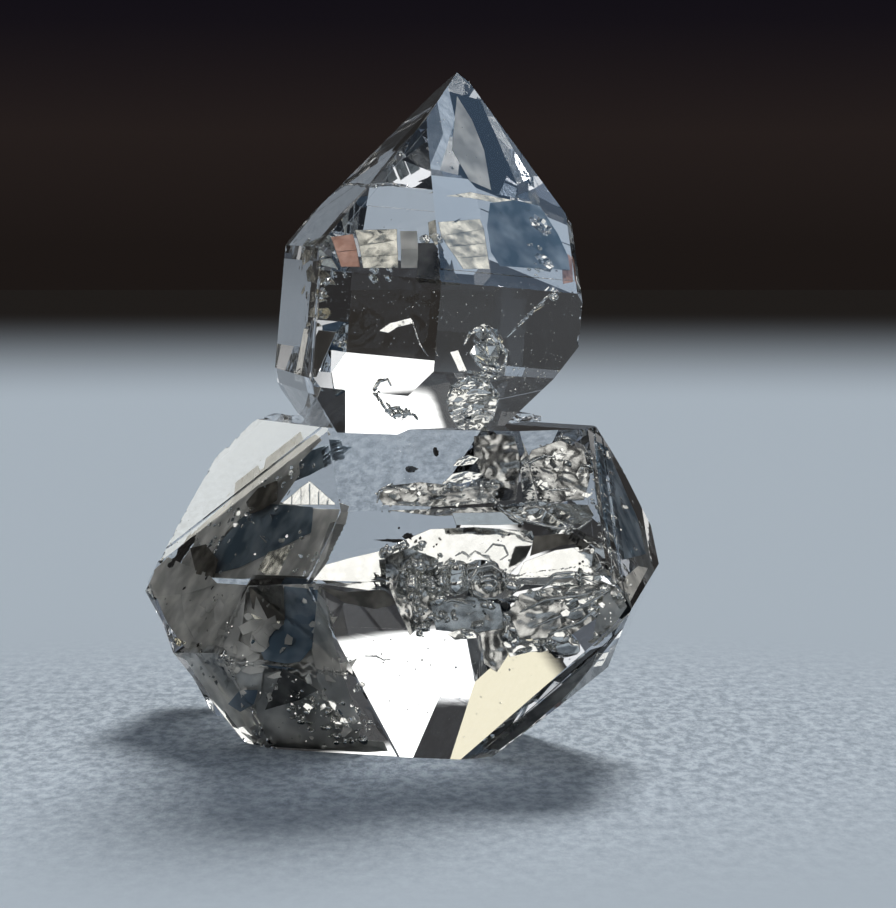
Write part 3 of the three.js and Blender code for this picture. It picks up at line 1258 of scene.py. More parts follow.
@dataclass(frozen=True)
class BlobField(Strewn):
    """Many small blobs, with sizes in millimetres."""

    slimness: float = 0.6
    flatness: float = 0.35
    turn_spread: float = 90.0
    crinkle: float = 0.5
    fineness: int = 2

    TILT_SPREAD = 50.0
    SMALLNESS = 2.2
    FLATTEST = 0.6
    THICKEST = 1.4

    def thing(self, spot: Spot, luck: random.Random) -> Blob:
        """Makes one blob.

        Args:
            spot: The spot that it lies at.
            luck: The random numbers.

        Returns:
            The blob.
        """
        size = self.some_size(luck)
        return Blob(
            spot=spot,
            width=size,
            height=size * luck.uniform(self.slimness, 1.0),
            thickness=size * self.flatness * luck.uniform(self.FLATTEST, self.THICKEST),
            depth=luck.uniform(*self.depth),
            turn=self.turn + luck.uniform(-self.turn_spread, self.turn_spread),
            tilt=luck.uniform(-self.TILT_SPREAD, self.TILT_SPREAD),
            crinkle=self.crinkle,
            seed=self.some_seed(luck),
            fineness=self.fineness,
        )


@dataclass(frozen=True)
class DustField(BlobField):
    """Very small round blobs."""

    flatness: float = 0.8
    crinkle: float = 0.3
    fineness: int = 1


@dataclass(frozen=True)
class ShardField(Strewn):
    """Many small flat glints, with sizes in the frame's pixels. They lean the same way, more or less."""

    slimness: float = 0.35
    turn_spread: float = 40.0
    turned: float = 9.0

    LEAN_SPREAD = 7.0
    CORNERS = 5
    NEAREST = 0.45
    FARTHEST = 1.35
    RAISED = 5.0

    def thing(self, spot: Spot, luck: random.Random) -> Film:
        """Makes one glint.

        Args:
            spot: The spot that it lies at.
            luck: The random numbers.

        Returns:
            The glint, as a small film.
        """
        half = 0.5 * self.some_size(luck)
        slim = luck.uniform(self.slimness, 1.0)
        turn = math.radians(self.turn + luck.uniform(-self.turn_spread, self.turn_spread))
        rim: list[Spot] = []
        for corner in range(self.CORNERS):
            angle = math.tau * corner / self.CORNERS
            reach = half * luck.uniform(self.NEAREST, self.FARTHEST)
            along = reach * math.cos(angle)
            aside = reach * math.sin(angle) * slim
            rim.append(Spot(spot.across + along * math.cos(turn) + aside * math.sin(turn),
                            spot.down - along * math.sin(turn) + aside * math.cos(turn)))
        return Film(
            tuple(rim),
            depth=luck.uniform(*self.depth),
            turned=self.turned + luck.uniform(-self.LEAN_SPREAD, self.LEAN_SPREAD),
            raised=self.RAISED + luck.uniform(-self.LEAN_SPREAD, self.LEAN_SPREAD),
            ripple=0.006,
            wave=0.3,
            seed=self.some_seed(luck),
            rings=3,
        )


@dataclass(frozen=True)
class BeadChain(Batch):
    """A wavering row of small beads, one below the other."""

    start: Spot
    count: int
    step: float
    sway: float
    depth: float

    SIZE = (0.24, 0.22, 0.2)
    CRINKLE = 0.3
    SWAY_STEP = 1.9

    def things(self) -> list[Blob]:
        """Makes the beads.

        Returns:
            The beads, from the top down.
        """
        return [Blob(Spot(self.start.across + self.sway * math.sin(place * self.SWAY_STEP),
                          self.start.down + self.step * place),
                     *self.SIZE, self.depth, crinkle=self.CRINKLE, seed=float(place))
                for place in range(self.count)]


@dataclass(frozen=True)
class Slats(Batch):
    """A healed crack in steps: flat strips between two edges, all at one depth under a leaning face."""

    left: tuple[Spot, ...]
    right: tuple[Spot, ...]
    depth: float
    turned: float
    raised: float
    sway: float = 0.0
    ripple: float = 0.004
    seed: float = 0.0

    TURN_STEP = 2.4
    RAISE_STEP = 1.7

    def things(self) -> list[Film]:
        """Makes the strips.

        Returns:
            The strips, in the order of the edges' spots.
        """
        found: list[Film] = []
        edges = list(zip(self.left, self.right))
        for place, ((left, right), (next_left, next_right)) in enumerate(zip(edges, edges[1:])):
            found.append(Film(
                (left, right, next_right, next_left),
                depth=self.depth,
                turned=self.turned + self.sway * math.sin(place * self.TURN_STEP + self.seed),
                raised=self.raised + self.sway * math.cos(place * self.RAISE_STEP + self.seed),
                ripple=self.ripple,
                wave=0.4,
                seed=self.seed + place,
                rings=10,
            ))
        return found


# ---- Cluster ----


@dataclass(frozen=True)
class ClearCluster:
    """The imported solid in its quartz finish."""

    finish: QuartzFinish = QuartzFinish()

    def dress(self) -> bpy.types.Object:
        """Gives the solid its material.

        Returns:
            The cluster's object.
        """
        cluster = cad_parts[CLUSTER]
        cluster.data.materials.clear()
        cluster.data.materials.append(self.finish.material())
        return cluster


class InnerPiece:
    """A piece inside the crystal whose dataclass fields are the things that it is made of."""

    NAME: ClassVar[str] = ""
    SLOT: ClassVar[Slot] = Slot.VEIL
    SMOOTH: ClassVar[bool] = True
    FINISH: ClassVar[VeilFinish | CarbonFinish] = VeilFinish()

    def things(self) -> list[Thing]:
        """Lists everything that the piece is made of.

        Returns:
            The things, in the order of the piece's fields.
        """
        found: list[Thing] = []
        for value in vars(self).values():
            for thing in value if isinstance(value, tuple) else (value,):
                found.extend(thing.things() if isinstance(thing, Batch) else (thing,))
        return found

    def build(self, inside: InsideView) -> bpy.types.Object:
        """Puts the piece in the crystal.

        Args:
            inside: What finds places inside the crystal.

        Returns:
            The piece's object.
        """
        piece = InnerMesh(self.NAME, inside)
        for thing in self.things():
            if not thing.put_in(piece) and not isinstance(thing, Blob):
                LOG.warning("%s: no room for %s", self.NAME, thing)
        return piece.finish(self.FINISH.material(), self.SLOT, self.SMOOTH)


@dataclass(frozen=True)
class CarbonFlecks(InnerPiece):
    """Black lumps and flakes of carbon."""

    heart: Blob = Blob(Spot(411, 469), 0.40, 0.30, 0.16, 1.2, turn=-20, seed=3.1)
    sliver: Blob = Blob(Spot(436, 452), 0.16, 0.46, 0.12, 1.3, turn=12, seed=5.2)
    knot: Blob = Blob(Spot(504, 493), 0.55, 0.48, 0.30, 1.2, crinkle=0.45, seed=7.7)
    crumb: Blob = Blob(Spot(512, 478), 0.26, 0.20, 0.14, 1.3, seed=9.4)
    chip: Blob = Blob(Spot(435, 497), 0.16, 0.14, 0.10, 1.0, seed=2.4)
    spine: Blob = Blob(Spot(398, 541), 1.05, 0.12, 0.10, 1.2, turn=-4, crinkle=0.6, waves=3.0, seed=1.9)
    spine_head: Blob = Blob(Spot(408, 537), 0.36, 0.24, 0.14, 1.2, turn=-15, crinkle=0.6, seed=6.3)
    tip_patch: Blob = Blob(
        Spot(184, 549), 0.55, 1.2, 0.3, 0.6, turn=-28, crinkle=0.8, waves=2.8, seed=4.5, fineness=4)
    tip_patch_low: Blob = Blob(Spot(175, 563), 0.6, 0.5, 0.25, 0.6, crinkle=0.8, waves=2.4, seed=8.8)
    left_eye: Blob = Blob(Spot(255, 499), 0.32, 0.26, 0.20, 0.9, turn=30, seed=5.9)
    left_dot: Blob = Blob(Spot(189, 590), 0.16, 0.20, 0.12, 0.6, seed=1.2)
    low_dot: Blob = Blob(Spot(198, 645), 0.14, 0.14, 0.10, 0.6, seed=3.9)
    right_dot: Blob = Blob(Spot(505, 605), 0.22, 0.24, 0.14, 0.6, seed=7.1)
    tip_dust: BlobField = BlobField(
        outline((160, 525), (205, 525), (215, 600), (160, 600)),
        46, (0.04, 0.24), (0.3, 1.0), crinkle=0.6, seed=11)
    front_dust: BlobField = BlobField(
        outline((400, 440), (600, 440), (620, 640), (390, 640)),
        60, (0.03, 0.15), (0.4, 1.2), crinkle=0.6, seed=13)

    NAME = "carbon_flecks"
    SLOT = Slot.CARBON
    SMOOTH = False
    FINISH = CarbonFinish()


@dataclass(frozen=True)
class PearlFilms(InnerPiece):
    """Soft pale healed cracks."""

    pale_patch: Slats = Slats(
        outline((355, 230), (359, 246), (361, 257), (363, 268)),
        outline((397, 229), (397, 240), (398, 255), (398, 268)), 0.5, 6, 4.5, 2.0, 0.03, 4.0)
    striped_patch: Slats = Slats(
        outline((438, 222), (441, 236), (448, 247), (456, 258), (463, 269)),
        outline((480, 219), (484, 229), (486, 243), (488, 256), (490, 269)), 0.5, 6, 4, 2.4, 0.018, 1.0)
    apex_edge: Film = Film(
        outline((446, 196), (470, 192), (512, 200), (508, 205), (470, 198)), 1.2, 9, 5, 0.03, 0.5, 2.0)
    glow: Film = Film(
        outline((268, 552), (290, 545), (308, 538), (306, 560), (300, 577), (270, 578), (258, 570)),
        0.6, 2.5, 7, 0.04, 0.5, 8.0)
    olive_glint: Film = Film(
        outline((250, 613), (262, 618), (281, 621), (277, 629), (268, 631), (258, 624)),
        0.5, 9, 5, 0.02, 0.5, 2.0)
    left_chips: ShardField = ShardField(
        outline((292, 240), (322, 236), (325, 290), (318, 320), (305, 328)),
        16, (6, 30), (0.4, 0.8), slimness=0.25, turn=75, turn_spread=20, turned=-7, seed=50)

    NAME = "pearl_films"
    FINISH = VeilFinish(
        "veil_pearl", roughness=0.22, pale=Tone(0.72, 0.70, 0.62), deep=Tone(0.30, 0.30, 0.27),
        wave_scale=1800.0)


@dataclass(frozen=True)
class UpperFilms(InnerPiece):
    """Flat healed cracks in the upper crystal."""

    small_strip: Film = Film(
        outline((450, 352), (458, 350), (467, 371), (461, 376)), 1.0, 8, 5, 0.004, 0.8, 3.0)
    left_strip: Film = Film(
        outline((304, 328), (309, 329), (300, 382), (294, 380)), 0.5, -7, 5, 0.002, 0.8, 3.0)
    low_folds: Slats = Slats(
        outline((462, 380), (451, 390), (447, 402), (449, 415), (458, 427)),
        outline((480, 379), (492, 388), (497, 401), (495, 415), (485, 427)),
        0.45, 5.5, 3.5, 2.0, 0.05, 12.0)
    hook: Film = Film(
        outline((379, 331), (390, 323), (411, 318), (414, 323), (398, 327), (388, 333)),
        1.0, 8, 5, 0.02, 0.4, 3.0)

    NAME = "upper_films"


@dataclass(frozen=True)
class UpperHollows(InnerPiece):
    """Small hollows, crumbs and dust in the upper crystal, with the bright rims of some."""

    high_hollow: Blob = Blob(
        Spot(487, 346), 1.3, 1.35, 0.8, 1.4, turn=35, crinkle=0.35, waves=1.2, seed=2.2, fineness=2)
    high_cap: Strand = Strand(
        outline((464, 345), (470, 333), (484, 326), (500, 345), (507, 352), (505, 368)),
        0.8, 0.10, 0.5, 1.0)
    high_side: Strand = Strand(
        outline((470, 352), (482, 368), (498, 371), (507, 362)), 0.8, 0.08, 0.6, 2.0)
    high_inner: Strand = Strand(
        outline((474, 340), (484, 350), (492, 362), (500, 366)), 0.7, 0.08, 0.6, 9.0)
    low_hollow: Blob = Blob(
        Spot(474, 404), 1.5, 1.6, 0.8, 1.1, turn=20, crinkle=0.35, waves=1.3, seed=4.2, fineness=2)
    low_cap: Strand = Strand(
        outline((446, 402), (452, 386), (468, 378), (486, 381), (498, 396), (492, 420)),
        0.6, 0.10, 0.5, 3.0)
    squiggle_top: Strand = Strand(
        outline((391, 386), (388, 379), (379, 381), (374, 389), (381, 402), (388, 412), (396, 419)),
        0.6, 0.07, 0.6, 4.0)
    squiggle_low: Strand = Strand(
        outline((386, 402), (390, 408), (399, 409), (406, 413), (414, 415), (418, 420)),
        0.6, 0.07, 0.8, 5.0)
    squiggle_lump: Blob = Blob(Spot(395, 412), 0.6, 0.42, 0.22, 0.6, seed=1.4)
    hook_tail: Strand = Strand(
        outline((412, 321), (415, 330), (420, 345), (428, 356)), 0.9, 0.025, 0.5, 6.0)
    needle: Strand = Strand(outline((550, 294), (530, 314), (507, 337)), 0.9, 0.07, 0.25, 7.0)
    needle_bead: Blob = Blob(Spot(554, 297), 0.36, 0.3, 0.24, 0.7, crinkle=0.3, seed=2.0)
    shelf: Strand = Strand(
        outline((332, 188), (350, 184), (370, 186), (390, 184), (408, 186)), 0.6, 0.08, 0.5, 8.0)
    corner_bead: Blob = Blob(Spot(425, 239), 0.4, 0.4, 0.3, 1.2, crinkle=0.3, seed=3.0)
    high_lump: Blob = Blob(Spot(538, 228), 1.0, 0.95, 0.6, 0.8, turn=20, crinkle=0.45, seed=6.0)
    right_lump: Blob = Blob(Spot(539, 262), 1.15, 0.7, 0.5, 0.8, turn=10, crinkle=0.45, seed=7.0)
    right_crumbs: BlobField = BlobField(
        outline((524, 214), (550, 214), (558, 274), (528, 276)),
        22, (0.1, 0.42), (0.5, 1.0), slimness=0.5, flatness=0.4, seed=36)
    row_lumps: BlobField = BlobField(
        outline((360, 232), (395, 232), (395, 270), (364, 270)),
        18, (0.12, 0.5), (0.7, 1.2), slimness=0.4, flatness=0.4, seed=31)
    left_chips: BlobField = BlobField(
        outline((292, 240), (322, 236), (325, 300), (305, 320)),
        34, (0.08, 0.5), (0.15, 0.6), slimness=0.3, flatness=0.3, turn=60, turn_spread=40, seed=32)
    dark_dust: DustField = DustField(
        outline((335, 275), (575, 285), (575, 350), (545, 380), (440, 350), (335, 350)),
        260, (0.02, 0.075), (0.2, 0.9), seed=33)
    low_dust: DustField = DustField(
        outline((500, 350), (572, 350), (545, 385), (520, 420), (490, 430)),
        120, (0.02, 0.10), (0.2, 0.9), seed=34)
    tip_dust: DustField = DustField(
        outline((455, 100), (540, 190), (575, 250), (330, 260), (330, 200)),
        90, (0.02, 0.08), (0.2, 0.9), seed=35)

    NAME = "upper_hollows"
    SMOOTH = False


@dataclass(frozen=True)
class FrontFilms(InnerPiece):
    """Flat healed cracks behind the wide front faces of the lower crystal."""

    cream_wedge: Slats = Slats(
        outline((283, 502), (292, 495), (301, 487), (310, 481), (319, 489), (328, 497), (335, 503)),
        outline((283, 504), (292, 505), (301, 505), (310, 505), (319, 505), (328, 505), (335, 505)),
        0.4, 2.5, 5.5)
    front_sheet: Film = Film(
        outline((313, 580), (325, 565), (350, 558), (385, 550), (408, 538), (430, 529), (475, 527),
                (532, 531), (535, 539), (526, 558), (508, 576), (470, 584), (420, 584)),
        1.5, 9, 6, 0.03, 1.2, 2.0)
    right_sheet: Film = Film(
        outline((514, 584), (524, 562), (555, 550), (592, 545), (602, 566), (590, 578), (560, 586)),
        0.9, 9, 6, 0.02, 0.8, 5.0)
    edge_streak: Film = Film(
        outline((223, 706), (230, 711), (239, 729), (233, 727), (226, 717)), 0.4, 3, 7, 0.01, 0.5, 2.0)
    edge_glint: Drape = Drape(
        outline((165, 633), (176, 637), (187, 643), (180, 647), (169, 641)), 0.4, 2, 7, 0.02, 0.4, 4.0)
    jagged_strip: Film = Film(
        outline((503, 643), (512, 637), (530, 641), (548, 636), (562, 638), (556, 650), (530, 652),
                (510, 657)), 0.8, 9, 5, 0.03, 0.4, 2.5)
    jagged_low: Film = Film(
        outline((447, 634), (462, 628), (485, 630), (478, 638), (455, 640)), 0.8, 9, 5, 0.03, 0.4, 3.5)
    leaf_high: Film = Film(
        outline((453, 466), (458, 459), (468, 455), (479, 458), (474, 464), (462, 466)),
        0.8, 9, 5, 0.03, 0.24, 3.5)
    leaf_low: Film = Film(
        outline((445, 481), (452, 474), (466, 471), (485, 474), (476, 480), (462, 484)),
        0.8, 9, 5, 0.03, 0.26, 5.5)
    chip_facet: Slats = Slats(
        outline((603, 653), (598, 660), (593, 667)), outline((609, 652), (606, 659), (602, 666)),
        0.35, 11, 4)
    lens_floor: Film = Film(
        outline((503, 511), (520, 505), (555, 503), (588, 505), (594, 515), (585, 524), (560, 526),
                (530, 521)), 0.9, 0, -7, 0.03, 0.7, 7.0)
    belly_sky: Film = Film(
        outline((452, 513), (500, 512), (520, 516), (524, 524), (500, 525), (456, 525)),
        0.5, 0, -6, 0.01, 0.8, 8.0)

    NAME = "front_films"


@dataclass(frozen=True)
class CrumpledFilms(InnerPiece):
    """Crumpled healed cracks of the lower crystal."""

    left_crumple: Film = Film(
        outline((385, 556), (410, 548), (436, 558), (443, 590), (432, 612), (410, 636), (398, 610),
                (386, 580)), 0.9, 6, 4, 0.060, 0.42, 2.0)
    eye_crumple: Film = Film(
        outline((468, 574), (486, 562), (504, 570), (508, 588), (492, 600), (474, 596)),
        0.8, 4, 4, 0.05, 0.40, 4.0)
    slate_crumple: Film = Film(
        outline((430, 602), (470, 596), (500, 604), (506, 628), (470, 634), (436, 630)),
        1.0, 0, -6, 0.03, 0.6, 6.0)
    right_crumple: Film = Film(
        outline((508, 612), (520, 594), (556, 586), (600, 580), (618, 588), (606, 612), (570, 636),
                (520, 640)), 0.9, 4, 2, 0.060, 0.55, 8.0)
    shelf_crumple: Film = Film(
        outline((378, 497), (386, 486), (420, 482), (470, 487), (500, 484), (500, 502), (440, 507),
                (384, 505)), 0.8, 4, 4, 0.045, 0.42, 3.0)
    dome_crumple: Film = Film(
        outline((520, 470), (532, 450), (560, 440), (584, 450), (590, 478), (584, 500), (540, 503),
                (522, 492)), 0.9, 4, 4, 0.050, 0.50, 5.0)
    smudge: Film = Film(
        outline((474, 436), (500, 434), (514, 436), (521, 462), (516, 500), (496, 502), (484, 480),
                (474, 458)), 1.0, 0, 3, 0.05, 0.6, 9.0)
    shadow_fill: Film = Film(
        outline((480, 632), (503, 628), (508, 655), (497, 672), (484, 664)), 0.8, 4, 4, 0.05, 0.6, 10.0)

    NAME = "crumpled_films"
    FINISH = VeilFinish(
        "veil_smoky", roughness=0.16, pale=Tone(0.72, 0.72, 0.69), deep=Tone(0.26, 0.26, 0.25),
        wave_scale=2000.0)


@dataclass(frozen=True)
class FrontHollows(InnerPiece):
    """Beads, curls and faceted hollows along the healed cracks of the lower crystal."""

    white_bubble: Blob = Blob(
        Spot(457, 582), 0.75, 0.95, 0.5, 0.8, turn=-10, crinkle=0.15, waves=1.3, seed=1.3)
    wedge_bead: Blob = Blob(Spot(276, 509), 0.28, 0.22, 0.2, 0.7, crinkle=0.15, seed=1.3)
    bead_chain: BeadChain = BeadChain(Spot(418, 584), count=9, step=6.2, sway=3.0, depth=0.6)
    lens_rim: Strand = Strand(
        outline((499, 510), (512, 516), (530, 522), (555, 528), (578, 529), (592, 519)),
        0.7, 0.06, 0.6, 1.0)
    lens_streak: Strand = Strand(outline((498, 507), (508, 515), (522, 524)), 0.6, 0.10, 0.6, 2.0)
    eye_rings: tuple[Strand, ...] = (
        Strand(outline((470, 580), (478, 568), (492, 565), (503, 573), (505, 585)), 0.5, 0.06, 0.6, 3.0),
        Strand(outline((477, 584), (483, 576), (493, 575), (497, 584), (490, 592)), 0.5, 0.05, 0.6, 4.0),
        Strand(outline((472, 592), (484, 599), (498, 598)), 0.5, 0.05, 0.6, 5.0),
    )
    curls: tuple[Strand, ...] = (
        Strand(outline((485, 553), (493, 544), (504, 546), (508, 555), (500, 560)), 0.6, 0.04, 0.6, 6.0),
        Strand(outline((455, 556), (462, 552), (470, 557)), 0.6, 0.04, 0.6, 7.0),
        Strand(outline((540, 590), (556, 578), (580, 576), (598, 584)), 0.5, 0.05, 0.6, 8.0),
        Strand(outline((520, 612), (545, 600), (575, 596), (606, 590)), 0.5, 0.05, 0.6, 9.0),
        Strand(outline((530, 628), (560, 616), (590, 602), (612, 588)), 0.5, 0.06, 0.6, 10.0),
        Strand(outline((548, 634), (580, 622), (604, 602)), 0.5, 0.05, 0.6, 11.0),
        Strand(outline((432, 606), (452, 600), (476, 606)), 0.6, 0.05, 0.6, 12.0),
        Strand(outline((377, 503), (380, 490), (392, 484), (398, 490)), 0.5, 0.06, 0.6, 13.0),
        Strand(outline((528, 463), (544, 456), (562, 458)), 0.5, 0.07, 0.6, 14.0),
        Strand(outline((530, 480), (550, 490), (575, 488)), 0.5, 0.05, 0.6, 15.0),
    )
    left_crumbs: BlobField = BlobField(
        outline((384, 548), (430, 542), (446, 560), (446, 620), (420, 640), (400, 610)),
        80, (0.08, 0.5), (0.4, 1.0), slimness=0.4, flatness=0.5, seed=21)
    middle_crumbs: BlobField = BlobField(
        outline((440, 560), (520, 560), (516, 640), (430, 646)),
        50, (0.08, 0.6), (0.4, 1.2), slimness=0.3, flatness=0.4, turn=10, turn_spread=35, seed=20)
    shelf_crumbs: BlobField = BlobField(
        outline((380, 486), (500, 478), (500, 505), (380, 506)),
        46, (0.08, 0.42), (0.4, 1.0), slimness=0.4, flatness=0.45, seed=22)
    dome_flakes: BlobField = BlobField(
        outline((528, 445), (560, 434), (590, 445), (598, 470), (560, 466)),
        30, (0.12, 0.7), (0.4, 1.0), slimness=0.35, flatness=0.3, turn=8, turn_spread=35, seed=23)
    right_swirls: BlobField = BlobField(
        outline((510, 590), (612, 566), (620, 590), (565, 650), (505, 650)),
        44, (0.15, 1.2), (0.4, 1.4), slimness=0.15, flatness=0.15, turn=18, turn_spread=18, seed=24)
    right_sparks: BlobField = BlobField(
        outline((592, 430), (612, 440), (652, 556), (626, 590), (600, 540)),
        60, (0.06, 0.45), (0.2, 0.9), slimness=0.3, flatness=0.4, turn=-60, turn_spread=30, seed=25)
    foot_sparks: BlobField = BlobField(
        outline((277, 696), (300, 688), (333, 694), (345, 700), (372, 720), (372, 742), (330, 742),
                (285, 716)),
        80, (0.08, 0.42), (0.3, 0.9), slimness=0.35, flatness=0.4, turn=-25, turn_spread=40, seed=27)
    shoulder_sparks: BlobField = BlobField(
        outline((190, 535), (262, 458), (300, 448), (320, 470), (262, 515), (215, 560)),
        70, (0.04, 0.3), (0.3, 1.2), slimness=0.3, flatness=0.3, turn=45, turn_spread=30, seed=28)
    white_dust: DustField = DustField(
        outline((345, 620), (480, 655), (600, 650), (470, 745), (400, 735)),
        60, (0.02, 0.1), (0.2, 0.6), seed=29)
    foot_glints: ShardField = ShardField(
        outline((277, 700), (298, 689), (325, 692), (345, 700), (366, 716), (372, 734), (345, 728),
                (300, 708)), 34, (3, 12), (0.2, 0.35), turn=-25, seed=41)
    foot_haze: ShardField = ShardField(
        outline((215, 650), (250, 640), (300, 650), (330, 600), (345, 650), (385, 740), (260, 745)),
        50, (2, 8), (0.25, 0.45), turn=60, seed=42)
    left_haze: ShardField = ShardField(
        outline((160, 600), (240, 590), (235, 650), (215, 700), (180, 650)),
        24, (2, 8), (0.25, 0.45), turn=50, seed=43)
    band_glints: ShardField = ShardField(
        outline((200, 548), (262, 482), (305, 448), (318, 440), (300, 470), (260, 510), (216, 556)),
        40, (2, 7), (0.2, 0.35), turn=45, seed=44)
    blue_glints: ShardField = ShardField(
        outline((215, 572), (245, 545), (310, 520), (330, 520), (310, 575)),
        22, (2, 9), (0.3, 0.6), turn=40, seed=45)
    right_glints: ShardField = ShardField(
        outline((594, 430), (612, 440), (652, 556), (626, 600), (600, 640), (590, 640), (600, 560)),
        50, (2, 10), (0.2, 0.5), turn=-60, seed=46)
    dome_glints: ShardField = ShardField(
        outline((525, 446), (560, 432), (592, 445), (598, 500), (520, 500)),
        26, (4, 16), (0.3, 0.7), turn=8, seed=47)
    shelf_glints: ShardField = ShardField(
        outline((380, 486), (500, 478), (500, 505), (380, 506)), 26, (3, 12), (0.3, 0.7), turn=10, seed=48)
    swirl_glints: ShardField = ShardField(
        outline((510, 600), (612, 576), (616, 600), (565, 645), (505, 645)),
        26, (4, 18), (0.3, 0.7), slimness=0.2, turn=20, turn_spread=20, seed=49)
    tick: Strand = Strand(outline((364, 656), (376, 656), (384, 660), (391, 659)), 0.4, 0.03, 0.5, 1.0)

    NAME = "front_hollows"


@dataclass(frozen=True)
class GreyVeils(InnerPiece):
    """Cloudy veils, most of them in the left foot and the shoulder of the lower crystal."""

    foot_back: Drape = Drape(
        outline((152, 592), (250, 586), (316, 590), (330, 645), (360, 730), (358, 746), (320, 750),
                (264, 748), (242, 726), (206, 678), (168, 624)), 1.2, 3, 4, 0.05, 0.9, 21.0)
    shoulder_back: Drape = Drape(
        outline((182, 560), (212, 520), (262, 474), (298, 454), (300, 474), (280, 502), (330, 511),
                (320, 552), (302, 576), (240, 579), (180, 576)), 1.2, 3, 4, 0.05, 0.9, 22.0)
    tip: Drape = Drape(
        outline((147, 583), (152, 572), (168, 557), (187, 566), (207, 573), (218, 584), (190, 593),
                (152, 597)), 0.7, 3, 4, 0.05, 0.6, 1.0)
    shoulder_band: Drape = Drape(
        outline((190, 536), (206, 521), (233, 497), (255, 474), (282, 454), (302, 442), (316, 434),
                (322, 440), (300, 462), (284, 478), (266, 498), (246, 514), (226, 532), (211, 554),
                (200, 556)), 0.5, 4, 3, 0.06, 0.4, 9.0)
    foot_left: Drape = Drape(
        outline((180, 584), (215, 583), (247, 585), (243, 625), (238, 642), (214, 652), (196, 643),
                (184, 620)), 0.6, 4, 4, 0.04, 0.9, 1.0)
    foot_middle: Drape = Drape(
        outline((200, 645), (216, 652), (238, 640), (256, 650), (264, 668), (260, 698), (248, 712),
                (230, 700), (213, 674)), 0.6, 6, 4, 0.07, 0.45, 3.0)
    foot_right: Drape = Drape(
        outline((318, 592), (326, 602), (334, 645), (352, 703), (364, 728), (354, 730), (334, 708),
                (318, 682), (312, 650)), 0.4, 8, 4, 0.01, 0.5, 5.0)
    foot_low: Drape = Drape(
        outline((250, 722), (280, 724), (345, 737), (384, 742), (388, 751), (330, 755), (270, 753),
                (252, 742)), 0.7, 4, 4, 0.06, 0.35, 7.0)
    grey_strip: Drape = Drape(
        outline((314, 509), (340, 509), (326, 558), (314, 577), (304, 576), (309, 548)),
        1.0, 3, 4, 0.04, 0.5, 3.0)
    left_edge: Drape = Drape(
        outline((180, 650), (196, 654), (210, 672), (218, 688), (238, 712), (246, 726), (238, 728),
                (216, 704), (196, 676)), 0.4, 3, 4, 0.03, 0.6, 4.0)
    apex_wedge: Film = Film(
        outline((457, 96), (472, 120), (484, 150), (491, 190), (470, 181), (452, 150)),
        0.7, 8, 3, 0.03, 0.6, 15.0)
    grey_patch: Slats = Slats(
        outline((400, 231), (401, 249), (401, 268)), outline((417, 231), (418, 249), (418, 268)),
        0.5, 5, 3)
    right_low: Drape = Drape(
        outline((604, 596), (638, 566), (648, 568), (629, 604), (606, 636), (592, 646), (596, 620)),
        0.5, 4, 3, 0.05, 0.4, 18.0)
    foot_clouds: ShardField = ShardField(
        outline((160, 592), (250, 590), (262, 640), (250, 700), (236, 712), (205, 672), (172, 622)),
        30, (10, 44), (0.25, 0.5), slimness=0.4, turn=55, seed=51)
    low_clouds: ShardField = ShardField(
        outline((262, 600), (325, 600), (345, 660), (372, 735), (262, 745), (262, 690)),
        30, (6, 30), (0.25, 0.5), slimness=0.4, turn=55, seed=52)

    NAME = "grey_veils"
    FINISH = VeilFinish(
        "veil_grey", roughness=0.60, pale=Tone(0.97, 0.96, 0.92), deep=Tone(0.52, 0.52, 0.50),
        wave_scale=900.0)


@dataclass(frozen=True)
class ShadeFilms(InnerPiece):
    """Dark films put where the crystal looks dark: painted shade, on films that reflect dimly and let no
    light through.
    """

    # Painted shade: dark films where the crystal shows dark reflections of the room and of the shadowed
    # table.
    foot_wedge: Drape = Drape(
        outline((265, 710), (274, 688), (283, 668), (300, 678), (318, 690), (300, 700)),
        0.3, 0, 3, 0.01, 0.6, 1.0)
    band_hollow: Drape = Drape(
        outline((246, 502), (258, 488), (278, 480), (277, 500), (262, 510), (250, 514)),
        0.7, 0, 3, 0.04, 0.6, 2.0)
    wedge_shade: Film = Film(
        outline((318, 586), (345, 592), (385, 590), (398, 604), (375, 609), (345, 603)),
        0.9, -5, 4, 0.02, 0.8, 3.0)
    brown_band: Film = Film(
        outline((534, 536), (580, 532), (598, 541), (560, 546), (530, 556)), 0.8, 1, 4, 0.01, 0.8, 1.5)
    belly_shade: Drape = Drape(
        outline((481, 747), (527, 713), (570, 678), (596, 657), (588, 673), (564, 698), (530, 727),
                (499, 750)), 0.4, 0, 3, 0.02, 0.6, 7.0)
    spike: Drape = Drape(
        outline((417, 281), (418, 243), (434, 243), (460, 280), (440, 280)), 0.6, -5, 4, 0.004, 0.8, 2.0)
    foot_notch: Drape = Drape(
        outline((248, 585), (283, 585), (285, 620), (270, 620), (252, 608)), 0.5, 0, 3, 0.04, 0.6, 3.0)
    tip_speckle: Drape = Drape(
        outline((190, 548), (206, 544), (218, 560), (214, 578), (196, 574)), 0.5, 0, 3, 0.06, 0.3, 4.0)

    NAME = "dusky_veils"
    # The dark tone of these films is painted shade.
    FINISH = VeilFinish(
        "veil_dusk", roughness=0.40, pale=Tone(0.20, 0.19, 0.17), deep=Tone(0.06, 0.057, 0.05),
        wave_scale=1500.0)


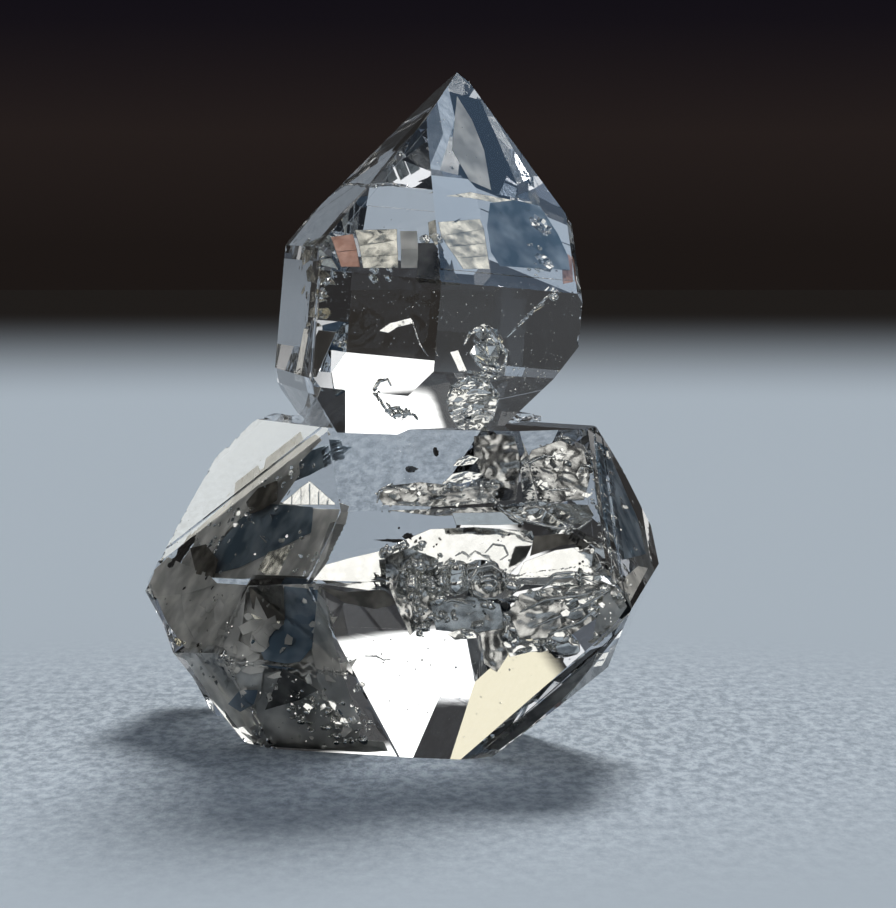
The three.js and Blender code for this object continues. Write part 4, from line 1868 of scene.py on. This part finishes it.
@dataclass(frozen=True)
class BlueShadeFilms(InnerPiece):
    """Thin dark films tinted blue, where the crystal shows the dim sky and the shadowed table: their colour
    is painted shade and painted reflection of the sky.
    """

    # Painted shade and painted sky reflection: blue-grey films over the dark blue parts of the crystal.
    deep_blue: Drape = Drape(
        outline((208, 566), (218, 545), (238, 520), (256, 503), (313, 507), (312, 532), (290, 543),
                (266, 555), (238, 568), (212, 574)), 1.1, -4, 12, 0.03, 0.8, 9.0)
    foot_blue: Drape = Drape(
        outline((284, 586), (318, 590), (312, 648), (300, 662), (286, 664), (264, 660), (256, 640),
                (270, 634), (284, 624)), 0.6, -4, 12, 0.04, 0.9, 3.0)
    low_blue: Drape = Drape(
        outline((228, 704), (240, 690), (258, 690), (254, 704), (240, 712)), 0.35, -4, 12, 0.02, 0.8, 4.0)
    shoulder_blue: Drape = Drape(
        outline((276, 472), (300, 454), (330, 444), (352, 447), (332, 463), (310, 475), (288, 484)),
        1.0, 0, 3, 0.04, 0.5, 5.0)
    right_band: Drape = Drape(
        outline((594, 440), (606, 446), (638, 520), (646, 554), (622, 560), (604, 520)),
        0.6, 4, 3, 0.06, 0.6, 13.0)
    upper_slope: Drape = Drape(
        outline((490, 203), (516, 200), (540, 206), (558, 234), (568, 256), (570, 270), (530, 268),
                (500, 266), (491, 252), (487, 226)), 0.6, 0, 3, 0.03, 0.7, 6.0)

    NAME = "blue_veils"
    # The blue-grey tone of these films is painted shade and painted sky reflection.
    FINISH = VeilFinish(
        "veil_blue", roughness=0.45, pale=Tone(0.30, 0.37, 0.44), deep=Tone(0.07, 0.12, 0.17),
        wave_scale=900.0)


@dataclass(frozen=True)
class RustVeils(InnerPiece):
    """Thin cracks with a skin of red iron stain."""

    upper_patch: Slats = Slats(
        outline((331, 237), (336, 252), (341, 267)), outline((353, 234), (357, 250), (360, 267)),
        0.5, 6, 4.5)
    right_patch: Drape = Drape(
        outline((561, 252), (572, 256), (573, 282), (563, 284)), 0.7, -3, 8, 0.01, 0.8, 2.0)

    NAME = "rust_veils"
    FINISH = VeilFinish(
        "veil_rust", roughness=0.30, pale=Tone(0.50, 0.31, 0.25), deep=Tone(0.36, 0.20, 0.15))


@dataclass(frozen=True)
class LightPaths:
    """How often light may bounce inside clear crystal, and that its colours stay as they come out."""

    all_kinds: int = 32
    transmission: int = 28
    glossy: int = 24
    transparent: int = 16
    look: str = "Standard"

    def apply(self) -> None:
        """Hands the limits to the scene."""
        cycles = bpy.context.scene.cycles
        cycles.max_bounces = self.all_kinds
        cycles.transmission_bounces = self.transmission
        cycles.glossy_bounces = self.glossy
        cycles.transparent_max_bounces = self.transparent
        bpy.context.scene.view_settings.view_transform = self.look


def main() -> None:
    """Builds the studio, then the cluster and what is inside it."""
    logging.basicConfig(level=logging.INFO, format="%(name)s: %(message)s")
    camera = StudioCamera()
    for part in (camera, Surroundings(), TableTop(), SunLamp()):
        LOG.info("%s built", part.build().name)
    LightPaths().apply()
    finish = QuartzFinish()
    cluster = ClearCluster(finish).dress()
    LOG.info("%s dressed", cluster.name)
    inside = InsideView(camera, cluster, finish.ior)
    for kind in (CarbonFlecks, PearlFilms, UpperFilms, UpperHollows, FrontFilms, CrumpledFilms, FrontHollows,
                 GreyVeils, ShadeFilms, BlueShadeFilms, RustVeils):
        LOG.info("%s placed", kind().build(inside).name)


if __name__ == "__main__":
    main()
